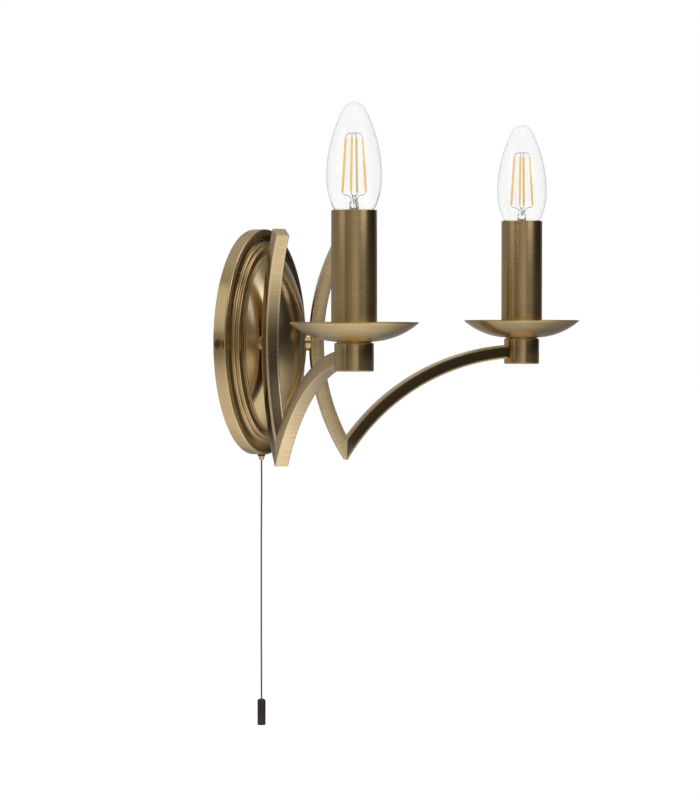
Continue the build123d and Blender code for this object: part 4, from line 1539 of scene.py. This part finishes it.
@dataclass
class CandleLamp:
    """A clear candle lamp with four filament sticks."""

    side: Side
    axis: Vector
    diameter: float = 35.0
    glass: float = 0.7
    top: float = 153.5
    widest: float = 106.0
    lower_radius: float = 46.0
    nose_radius: float = 8.0
    neck: float = 8.1
    neck_top: float = 82.2
    flare_top: float = 84.5
    foot: float = 79.7
    stem: float = 6.0
    stem_top: float = 95.0
    stick: float = 1.5
    stick_edge: float = 0.3
    stick_bottom: float = 97.0
    stick_top: float = 131.0
    ring_bottom: float = 15.4
    ring_top: float = 11.0
    stick_turn: float = 14.0
    sticks: int = 4
    wire: float = 0.5
    collar: float = 8.5
    cap: float = 6.8
    cap_sheet: float = 0.4
    cap_foot: float = 57.8
    collar_foot: float = 79.3
    collar_rim: float = 81.8
    thread_turns: int = 6
    thread_pitch: float = 2.82

    def skin(self, inset: float) -> list[Point2]:
        """The glass's outline, from its neck to its nose.

        Args:
            inset: How far inside the outer face it is drawn.

        Returns:
            Pairs of distance from the axis and height.
        """
        widest = self.diameter / 2
        nose = self.top - self.nose_radius
        rise = nose - self.widest
        upper = (widest**2 + rise**2 - self.nose_radius**2) / (2 * (widest - self.nose_radius))
        join = math.degrees(math.atan2(rise, upper - widest))
        flare = -math.degrees(math.asin((self.widest - self.flare_top) / self.lower_radius))
        neck = self.neck - inset
        outline = Outline().to((neck, self.foot), (neck, self.neck_top - 0.6))
        lower = (widest - self.lower_radius, self.widest)
        outline.arc(lower, flare, 0.0, self.lower_radius - inset, 16)
        outline.arc((widest - upper, self.widest), 1.0, join, upper - inset, 26)
        outline.arc((0.0, nose), join + 4, 90.0, self.nose_radius - inset, 12)
        return outline.points

    def bulb(self) -> bpy.types.Object:
        """The blown glass with its inner face.

        Returns:
            The finished glass, in metres.
        """
        outer = self.skin(0.0)
        inner = self.skin(self.glass)
        outline = Outline().to(*outer).to(*reversed(inner)).to(outer[0])
        return turn_on_lathe(f"{self.side.word}_lamp_bulb", outline, self.axis, 96)

    def stem_glass(self) -> bpy.types.Object:
        """The stem inside the lamp, pinched at its top.

        Returns:
            The finished stem, in metres.
        """
        half, flare = self.stem / 2, 2.0
        base = self.neck - self.glass
        outline = Outline().to((0.0, self.foot), (base, self.foot), (base, self.foot + 1.0))
        outline.arc((half + flare, self.foot + 1.0 + flare), -90, -180, flare, 6)
        pinch = half * 0.62
        outline.to((half, self.stem_top - 5.0), (pinch, self.stem_top - 2.5))
        outline.arc((0.0, self.stem_top - pinch), 0, 90, pinch, 6)
        return turn_on_lathe(f"{self.side.word}_lamp_pinch", outline, self.axis, 48)

    def spoke(self, index: int) -> Vector:
        """The level direction from the axis to a stick."""
        angle = math.radians(self.stick_turn + 360.0 * index / self.sticks)
        return Vector((math.cos(angle), math.sin(angle), 0.0))

    def ends(self, index: int) -> tuple[Vector, Vector]:
        """The two ends of a stick.

        Args:
            index: Which stick.

        Returns:
            Its foot and its head, in millimetres.
        """
        spoke = self.spoke(index)
        low = self.axis + spoke * (self.ring_bottom / 2) + Vector((0, 0, self.stick_bottom))
        high = self.axis + spoke * (self.ring_top / 2) + Vector((0, 0, self.stick_top))
        return low, high

    def filaments(self) -> bpy.types.Object:
        """All the filament sticks.

        Returns:
            One piece, in metres.
        """
        made = []
        for index in range(self.sticks):
            low, high = self.ends(index)
            half, edge = self.stick / 2, self.stick_edge
            length = (high - low).length
            outline = Outline().to((0.0, 0.0)).arc((half - edge, edge), -90, 0, edge, 3)
            outline.arc((half - edge, length - edge), 0, 90, edge, 3).to((0.0, length))
            stick = turn_on_lathe(f"{self.side.word}_stick_{index}", outline, Vector((0, 0, 0)), 16)
            up = (high - low).normalized()
            side = up.cross(self.spoke(index)).normalized()
            frame = Matrix((side.cross(up), side, up)).transposed().to_4x4()
            stick.matrix_world = Matrix.Translation(low * 0.001) @ frame
            bake_place(stick)
            made.append(stick)
        return join(made, f"{self.side.word}_lamp_sticks")

    def bare_backs(self, sticks: bpy.types.Object) -> None:
        """Leave the sticks' faces towards the axis without their coating.

        Args:
            sticks: The dressed sticks.
        """
        sticks.data.materials.append(SUBSTRATE.material())
        for face in sticks.data.polygons:
            inward = self.axis * 0.001 - face.center
            inward.z = 0.0
            if face.normal.dot(inward.normalized()) > 0.8:
                face.material_index = 1

    def wires(self) -> bpy.types.Object:
        """The lead wires: two below to the sticks' feet and a ring over their heads.

        Returns:
            One piece, in metres.
        """
        runs: list[list[Vector]] = []
        up = Vector((0, 0, 1))
        for index in range(self.sticks):
            spoke = self.spoke(index)
            low, high = self.ends(index)
            inner = self.axis + spoke * 1.6 + up * (self.stick_bottom - 2.2)
            runs.append([low, low - up * 1.8, inner, inner - up * 5.5])
            above = self.axis + up * (self.stick_top + 3.0)
            runs.append([high, high + up * 2.2, above + spoke * 1.5, above])
        name = f"{self.side.word}_wire"
        made = [bend_wire(f"{name}_{count}", run, self.wire) for count, run in enumerate(runs)]
        return join(made, f"{self.side.word}_lamp_wires")

    def screw_cap(self) -> bpy.types.Object:
        """The screw cap with its rolled thread and its collar.

        Returns:
            The finished cap, in metres.
        """
        collar, half, sheet = self.collar, self.cap, self.cap_sheet
        bottom, top, rim = self.cap_foot, self.collar_foot, self.collar_rim
        outline = Outline().to((half - 0.9, bottom), (half - 0.5, bottom))
        for turn in range(self.thread_turns):
            start = bottom + 0.4 + turn * self.thread_pitch
            outline.arc((half - 0.7, start + self.thread_pitch * 0.25), -60, 60, 0.7, 4)
            outline.to((half - 0.55, start + self.thread_pitch * 0.75))
        outline.to((half - 0.4, top - 1.0), (half, top), (collar - 0.2, top))
        outline.to((collar, top + 0.3), (collar, rim), (collar - sheet, rim))
        outline.to((collar - sheet, top + sheet), (half - 1.4, top + sheet))
        outline.to((half - 1.4, bottom), (half - 0.9, bottom))
        return turn_on_lathe(f"{self.side.word}_lamp_thread", outline, self.axis, 64)

    def build(self) -> None:
        """Make and dress the lamp's visible pieces."""
        word, body = self.side.word, self.side.lamp_body
        carry(self.bulb(), GLASS, body, [f"{word}_lamp_glass"])
        carry(self.stem_glass(), GLASS, body, [f"{word}_lamp_stem"])
        sticks = [f"{word}_lamp_filaments"]
        self.bare_backs(carry(self.filaments(), PHOSPHOR, body, sticks))
        carry(self.wires(), LEAD_WIRE, body, [f"{word}_lamp_leads"])
        carry(self.screw_cap(), CAP_NICKEL, body, [f"{word}_lamp_cap"])


def join(pieces: Iterable[bpy.types.Object], name: str) -> bpy.types.Object:
    """Join several pieces into one.

    Args:
        pieces: The pieces.
        name: The joined piece's name.

    Returns:
        The joined piece.
    """
    pieces = list(pieces)
    clear_selection()
    for piece in pieces:
        piece.select_set(True)
    bpy.context.view_layer.objects.active = pieces[0]
    bpy.ops.object.join()
    joined = bpy.context.object
    joined.name = joined.data.name = name
    return joined


def lay_curve(
    name: str, run: Sequence[Vector], diameter: float, along: int, around: int
) -> bpy.types.Object:
    """Lay a round curve along a run.

    Args:
        name: The new piece's name.
        run: The points that lead it, in metres.
        diameter: Its diameter in millimetres.
        along: How finely it is cut up along each length.
        around: How finely it is rounded.

    Returns:
        The curve, with its ends closed.
    """
    clear_selection()
    bpy.ops.curve.primitive_nurbs_path_add(location=(0, 0, 0))
    piece = bpy.context.object
    piece.name = piece.data.name = name
    shape = piece.data
    shape.splines.clear()
    spline = shape.splines.new("NURBS")
    spline.points.add(len(run) - 1)
    for point, place in zip(spline.points, run):
        point.co = (*place, 1.0)
    spline.order_u = 3
    spline.use_endpoint_u = True
    spline.resolution_u = along
    shape.bevel_depth = diameter / 2000.0
    shape.bevel_resolution = around
    shape.use_fill_caps = True
    return piece


def bend_wire(name: str, run: Sequence[Vector], diameter: float) -> bpy.types.Object:
    """Bend a round wire along a run.

    Args:
        name: The new piece's name.
        run: The points it is bent at, in millimetres.
        diameter: The wire's diameter.

    Returns:
        The wire as a mesh, in metres.
    """
    take_up(lay_curve(name, [place * 0.001 for place in run], diameter, 6, 2))
    bpy.ops.object.convert(target="MESH")
    wire = bpy.context.object
    close_up(wire, 50.0)
    return wire


# ------------------------------------------------------------------ the pull switch


@dataclass
class PullSwitch:
    """What shows of the switch: the washer, the gland, the cord and its toggle."""

    depth: float = 5.0
    plate_foot: float = -78.5
    washer_diameter: float = 5.4
    washer_sheet: float = 0.8
    gland_top: float = 5.0
    gland_mouth: float = 3.1
    gland_height: float = 3.0
    gland_bore: float = 2.2
    neck: float = 3.8
    cord_diameter: float = 1.1
    toggle_diameter: float = 5.7
    toggle_length: float = 18.2
    toggle_edge: float = 0.9
    spring_diameter: float = 4.6
    spring_wire: float = 0.5
    spring_foot: float = -66.0
    spring_length: float = 14.0
    spring_turns: int = 5
    turn_steps: int = 16
    travel: float = 6.0

    @property
    def axis(self) -> Vector:
        """A point on the switch's axis."""
        return Vector((0.0, -self.depth, 0.0))

    def route(self) -> list[Vector]:
        """The cord's way from the gland down to the toggle.

        Returns:
            The points that lead it, in metres.
        """
        mouth = self.plate_foot - self.washer_sheet - self.gland_height
        points = [
            (0.0, -self.depth, mouth),
            (0.3, -self.depth, -98.0),
            (-0.7, -self.depth - 0.2, -126.0),
            (-1.0, -self.depth - 0.3, -168.0),
            (-0.9, -self.depth - 0.2, -210.0),
            (-0.4, -self.depth, -250.0),
        ]
        return [Vector(point) * 0.001 for point in points]

    def washer(self) -> bpy.types.Object:
        """The dark washer under the plate.

        Returns:
            The finished washer, in metres.
        """
        outer, inner = self.washer_diameter / 2, self.neck / 2
        low, high = self.plate_foot - self.washer_sheet, self.plate_foot
        outline = Outline().to((inner, low), (outer - 0.2, low), (outer, low + 0.2))
        outline.to((outer, high - 0.2), (outer - 0.2, high), (inner, high), (inner, low))
        return turn_on_lathe("gland_washer_ring", outline, self.axis, 48)

    def gland(self) -> bpy.types.Object:
        """The small cone that the cord comes out of.

        Returns:
            The finished gland, in metres.
        """
        high = self.plate_foot - self.washer_sheet
        low = high - self.gland_height
        mouth, bore, top = self.gland_mouth / 2, self.gland_bore / 2, self.gland_top / 2
        outline = Outline().to((bore, low + 0.25), (bore + 0.1, low), (mouth - 0.12, low))
        outline.to((mouth, low + 0.15), (top - 0.25, high - 0.5), (top, high - 0.35))
        outline.to((top, high), (bore, high), (bore, low + 0.25))
        return turn_on_lathe("cord_gland_cone", outline, self.axis, 48)

    def toggle(self) -> bpy.types.Object:
        """The toggle on the cord's end.

        Returns:
            The finished toggle, in metres.
        """
        end = self.route()[-1] * 1000.0
        half, edge = self.toggle_diameter / 2, self.toggle_edge
        foot = end.z - self.toggle_length
        outline = Outline().to((0.0, foot + 0.35), (half - 1.3, foot + 0.35), (half - 1.0, foot))
        outline.arc((half - edge / 2, foot + edge / 2), -90, 0, edge / 2, 5)
        outline.to((half, end.z - edge - 0.2), (half - 0.1, end.z - edge))
        outline.to((half - edge, end.z), (0.9, end.z), (0.6, end.z - 0.6), (0.0, end.z - 0.6))
        return turn_on_lathe("pull_toggle_turning", outline, Vector((end.x, end.y, 0.0)), 56)

    def cord(self, toggle: bpy.types.Object) -> bpy.types.Object:
        """The hanging cord.

        Args:
            toggle: The piece on its far end; not used.

        Returns:
            The cord's curve.
        """
        route = self.route()
        cord = lay_curve("pull_cord_braid", route, self.cord_diameter, 24, 5)
        carry(cord, CORD, "pull", ["pull_cord"])
        return cord

    def spring(self) -> bpy.types.Object:
        """The return spring at rest, as it stands before the cord is pulled.

        Returns:
            The finished spring, in metres.
        """
        run = []
        steps = self.turn_steps * self.spring_turns
        radius = (self.spring_diameter - self.spring_wire) / 2
        for step in range(steps + 1):
            angle = math.radians(360.0 / self.turn_steps * step)
            height = self.spring_wire / 2 + (self.spring_length - self.spring_wire) * step / steps
            across, along = radius * math.cos(angle), radius * math.sin(angle)
            run.append(self.axis + Vector((across, along, self.spring_foot + height)))
        piece = bend_wire("return_spring_coil", run, self.spring_wire)
        carry(piece, SPRING_STEEL, "fixture", ["switch_spring"])
        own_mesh(piece)
        return piece

    def build(self) -> None:
        """Make and dress the switch's pieces."""
        self.spring()
        carry(self.washer(), WASHER_RUBBER, "fixture", ["gland_washer"])
        carry(self.gland(), GLAND_BRASS, "fixture", ["cord_gland"])
        toggle = carry(self.toggle(), TOGGLE_BROWN, "pull", ["pull_toggle"])
        self.cord(toggle)


# ------------------------------------------------------------------ hidden hardware


@dataclass
class Hardware:
    """The nodes that keep their own shape, each with its finish."""

    nodes: dict[str, bpy.types.Object]

    def finishes(self) -> dict[str, Finish]:
        """Which finish each kept node gets.

        Returns:
            Finishes by node name.
        """
        plain: dict[str, Finish] = {
            "wall_bracket": ZINC,
            "earth_washer": ZINC,
            "side_screws": SCREW_BRASS,
            "earth_screw": SCREW_BRASS,
            "clamp_screws": SCREW_BRASS,
            "terminal_block": BLOCK_NYLON,
            "switch_housing": SWITCH_BLACK,
            "switch_lid": SWITCH_BLACK,
            "switch_plunger": SWITCH_BLACK,
        }
        for side in Side:
            for name in ("stud", "stud_nut", "stud_seat", "nipple", "pan_nut"):
                plain[f"{side.word}_{name}"] = ZINC
            plain[f"{side.word}_lampholder"] = HOLDER_CREAM
            plain[f"{side.word}_holder_contact"] = CONTACT_BRASS
            plain[f"{side.word}_lamp_tip"] = CAP_NICKEL
            plain[f"{side.word}_lamp_insulator"] = INSULATOR
        return plain

    def build(self) -> None:
        """Give each kept node its finish."""
        for name, finish in self.finishes().items():
            node = self.nodes[name]
            node.data.materials.clear()
            node.data.materials.append(finish.material())
            log.info("%s keeps its shape in %s", name, finish.name)


# ------------------------------------------------------------------ the studio


@dataclass
class Studio:
    """The floor, the light and the camera."""

    camera_turn: float = 61.18
    camera_dip: float = 2.06
    camera_distance: float = 1850.0
    camera_right: float = 66.2
    camera_up: float = -40.5
    focal_pixels: float = 2649.0
    picture_width: float = 700.0
    sensor: float = 36.0
    floor_height: float = -520.0
    floor_glow: float = 1.06
    floor_flatness: float = 0.90
    floor_middle: Colour = (1.18, 1.23, 1.36)
    floor_near_from: tuple[float, float] = (0.30, 0.75)
    floor_far_from: tuple[float, float] = (0.9, 3.2)
    walls_high_from: tuple[float, float] = (0.10, 0.30)
    ceiling_from: tuple[float, float] = (0.55, 0.85)
    ceiling: Colour = (0.55, 0.57, 0.60)
    floor_near: tuple[Stop, ...] = (
        (-180.0, (0.26, 0.26, 0.27)),
        (-120.0, (0.42, 0.42, 0.43)),
        (-80.0, (0.82, 0.82, 0.84)),
        (0.0, (1.00, 1.02, 1.08)),
        (60.0, (1.04, 1.06, 1.12)),
        (110.0, (0.40, 0.40, 0.41)),
        (150.0, (0.16, 0.16, 0.17)),
        (180.0, (0.26, 0.26, 0.27)),
    )
    horizon: tuple[Stop, ...] = (
        (-180.0, 0.45),
        (-138.0, 0.34),
        (-100.0, 0.36),
        (-60.0, 0.20),
        (-53.0, 0.34),
        (-45.0, 0.12),
        (-22.0, 0.24),
        (8.0, 0.58),
        (20.0, 0.52),
        (30.0, 0.10),
    )
    floor_far_right: tuple[Stop, ...] = (
        (64.0, 0.06),
        (92.0, 0.03),
        (112.0, 0.05),
        (140.0, 0.08),
        (160.0, (0.24, 0.25, 0.27)),
        (180.0, 0.45),
    )
    walls_low_right: tuple[Stop, ...] = (
        (64.0, 0.04),
        (124.0, 0.02),
        (138.0, (0.14, 0.15, 0.17)),
        (160.0, (0.24, 0.25, 0.27)),
        (180.0, 0.45),
    )
    walls_high: tuple[Stop, ...] = (
        (-180.0, 0.45),
        (-138.0, 0.30),
        (-70.0, (0.34, 0.35, 0.37)),
        (-46.0, (0.34, 0.35, 0.37)),
        (-10.0, (0.50, 0.51, 0.54)),
        (26.0, (0.50, 0.51, 0.54)),
        (36.0, (1.15, 1.27, 1.60)),
        (62.0, (1.15, 1.27, 1.60)),
        (70.0, 0.24),
        (90.0, 0.04),
        (128.0, 0.04),
        (145.0, (0.16, 0.17, 0.19)),
        (180.0, 0.45),
    )

    def camera(self) -> None:
        """Stand the camera where the photograph was taken."""
        turn, dip = math.radians(self.camera_turn), math.radians(self.camera_dip)
        level = math.cos(dip)
        forward = Vector((math.sin(turn) * level, math.cos(turn) * level, -math.sin(dip)))
        right = Vector((math.cos(turn), -math.sin(turn), 0.0))
        up = right.cross(forward)
        place = -forward * self.camera_distance
        place += right * self.camera_right + up * self.camera_up
        clear_selection()
        bpy.ops.object.camera_add(location=place * 0.001)
        camera = bpy.context.object
        camera.name = "camera"
        frame = Matrix((right, up, -forward)).transposed().to_4x4()
        camera.matrix_world = Matrix.Translation(place * 0.001) @ frame
        camera.data.sensor_fit = "HORIZONTAL"
        camera.data.sensor_width = self.sensor
        camera.data.lens = self.focal_pixels * self.sensor / self.picture_width
        camera.data.clip_start, camera.data.clip_end = 0.05, 50.0
        bpy.context.scene.camera = camera

    def floor(self) -> None:
        """Lay the pale floor: white to the eye, and a lit sheet that ends in the dim for metal."""
        clear_selection()
        bpy.ops.mesh.primitive_plane_add(size=30.0, location=(0, 0, self.floor_height * 0.001))
        floor = bpy.context.object
        floor.name = "floor"
        bake_place(floor)
        shading = Shading("pale_floor")
        surface = shading.surface
        surface.inputs["Base Color"].default_value = (0.86, 0.86, 0.86, 1.0)
        surface.inputs["Roughness"].default_value = 0.9
        path = shading.node("ShaderNodeLightPath").outputs
        seen = shading.reckon("MAXIMUM", path["Is Camera Ray"], path["Is Transmission Ray"])
        bright = shading.reckon("MAXIMUM", seen, path["Is Glossy Ray"])
        place = shading.node("ShaderNodeTexCoord").outputs["Object"]
        length = shading.node("ShaderNodeVectorMath", operation="LENGTH")
        shading.link(place, length.inputs[0])
        away = length.outputs["Value"]
        turn = shading.turn_share(place, self.camera_turn)
        near = shading.ring(turn, self.floor_near)
        far = shading.ring(turn, self.horizon + self.floor_far_right)
        sheet = shading.blend(
            shading.stretch(away, 0.0, 1.0, *self.floor_near_from), self.floor_middle, near
        )
        sheet = shading.blend(shading.stretch(away, 0.0, 1.0, *self.floor_far_from), sheet, far)
        glow = shading.node("ShaderNodeEmission")
        glow.inputs["Strength"].default_value = self.floor_glow
        shading.link(shading.blend(seen, sheet, (1.0, 1.0, 1.0)), glow.inputs["Color"])
        mix = shading.node("ShaderNodeMixShader")
        shading.link(shading.stretch(bright, 0.0, self.floor_flatness), mix.inputs[0])
        shading.link(surface.outputs[0], mix.inputs[1])
        shading.link(glow.outputs[0], mix.inputs[2])
        shading.link(mix.outputs[0], shading.tree.nodes["Material Output"].inputs["Surface"])
        floor.data.materials.append(shading.material)

    def world(self) -> None:
        """Surround the object with white for the eye and a dim studio for metal to mirror."""
        world = bpy.data.worlds.new("studio")
        bpy.context.scene.world = world
        world.use_nodes = True
        tree = Nodes(world.node_tree)
        tree.tree.nodes.clear()
        direction = tree.node("ShaderNodeTexCoord").outputs["Generated"]
        split = tree.node("ShaderNodeSeparateXYZ")
        tree.link(direction, split.inputs[0])
        height = split.outputs["Z"]
        turn = tree.turn_share(direction, self.camera_turn)
        low = tree.ring(turn, self.horizon + self.walls_low_right)
        high = tree.ring(turn, self.walls_high)
        rise = tree.stretch(height, 0.0, 1.0, *self.walls_high_from, kind="SMOOTHSTEP")
        top = tree.stretch(height, 0.0, 1.0, *self.ceiling_from, kind="SMOOTHSTEP")
        room = tree.blend(top, tree.blend(rise, low, high), self.ceiling)
        path = tree.node("ShaderNodeLightPath").outputs
        seen = tree.reckon("MAXIMUM", path["Is Camera Ray"], path["Is Transmission Ray"])
        mirrored = tree.node("ShaderNodeBackground")
        tree.link(room, mirrored.inputs["Color"])
        soft = tree.node("ShaderNodeBackground")
        soft.inputs["Color"].default_value = (0.9, 0.9, 0.9, 1.0)
        soft.inputs["Strength"].default_value = 0.75
        white = tree.node("ShaderNodeBackground")
        white.inputs["Color"].default_value = (1.0, 1.0, 1.0, 1.0)
        light = soft.outputs[0]
        for share, shown in ((path["Is Glossy Ray"], mirrored), (seen, white)):
            mix = tree.node("ShaderNodeMixShader")
            tree.link(share, mix.inputs[0])
            tree.link(light, mix.inputs[1])
            tree.link(shown.outputs[0], mix.inputs[2])
            light = mix.outputs[0]
        tree.link(light, tree.node("ShaderNodeOutputWorld").inputs["Surface"])

    def lamp(
        self, name: str, place: Vector, aim: Vector, size: tuple[float, float], power: float
    ) -> None:
        """Hang one soft box.

        Args:
            name: Its name.
            place: Where it hangs, in metres.
            aim: What it points at, in metres.
            size: Its width and height in metres.
            power: Its power in watts.
        """
        clear_selection()
        bpy.ops.object.light_add(type="AREA", location=place)
        light = bpy.context.object
        light.name = name
        light.data.shape = "RECTANGLE"
        light.data.size, light.data.size_y = size
        light.data.energy = power
        light.rotation_euler = (aim - place).to_track_quat("-Z", "Y").to_euler()

    def build(self) -> None:
        """Set the studio up."""
        self.camera()
        self.floor()
        self.world()
        middle = Vector((0.0, -0.05, 0.0))
        self.lamp("front_box", Vector((-0.40, -1.95, 0.92)), middle, (0.8, 0.6), 1.7)
        self.lamp("left_box", Vector((-1.7, 1.0, 0.8)), middle, (1.2, 1.2), 2.3)
        self.lamp("top_box", Vector((-0.3, -0.6, 2.0)), middle, (1.2, 1.2), 4.5)
        log.info("the studio is lit")


# ------------------------------------------------------------------ the whole


def main() -> None:
    """Build the wall light, piece by piece, and the studio around it."""
    logging.basicConfig(level=logging.INFO, format="%(name)s: %(message)s")
    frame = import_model()
    Studio().build()
    PullSwitch().build()
    Backplate().build()
    for side in Side:
        arm = Arm(side)
        arm.build()
        CandleStand(side, arm.cup_axis).build()
        CandleLamp(side, arm.cup_axis).build()
    Hardware(frame["nodes"]).build()
    bpy.context.scene.view_settings.view_transform = "Standard"
    bpy.context.view_layer.update()


if __name__ == "__main__":
    main()
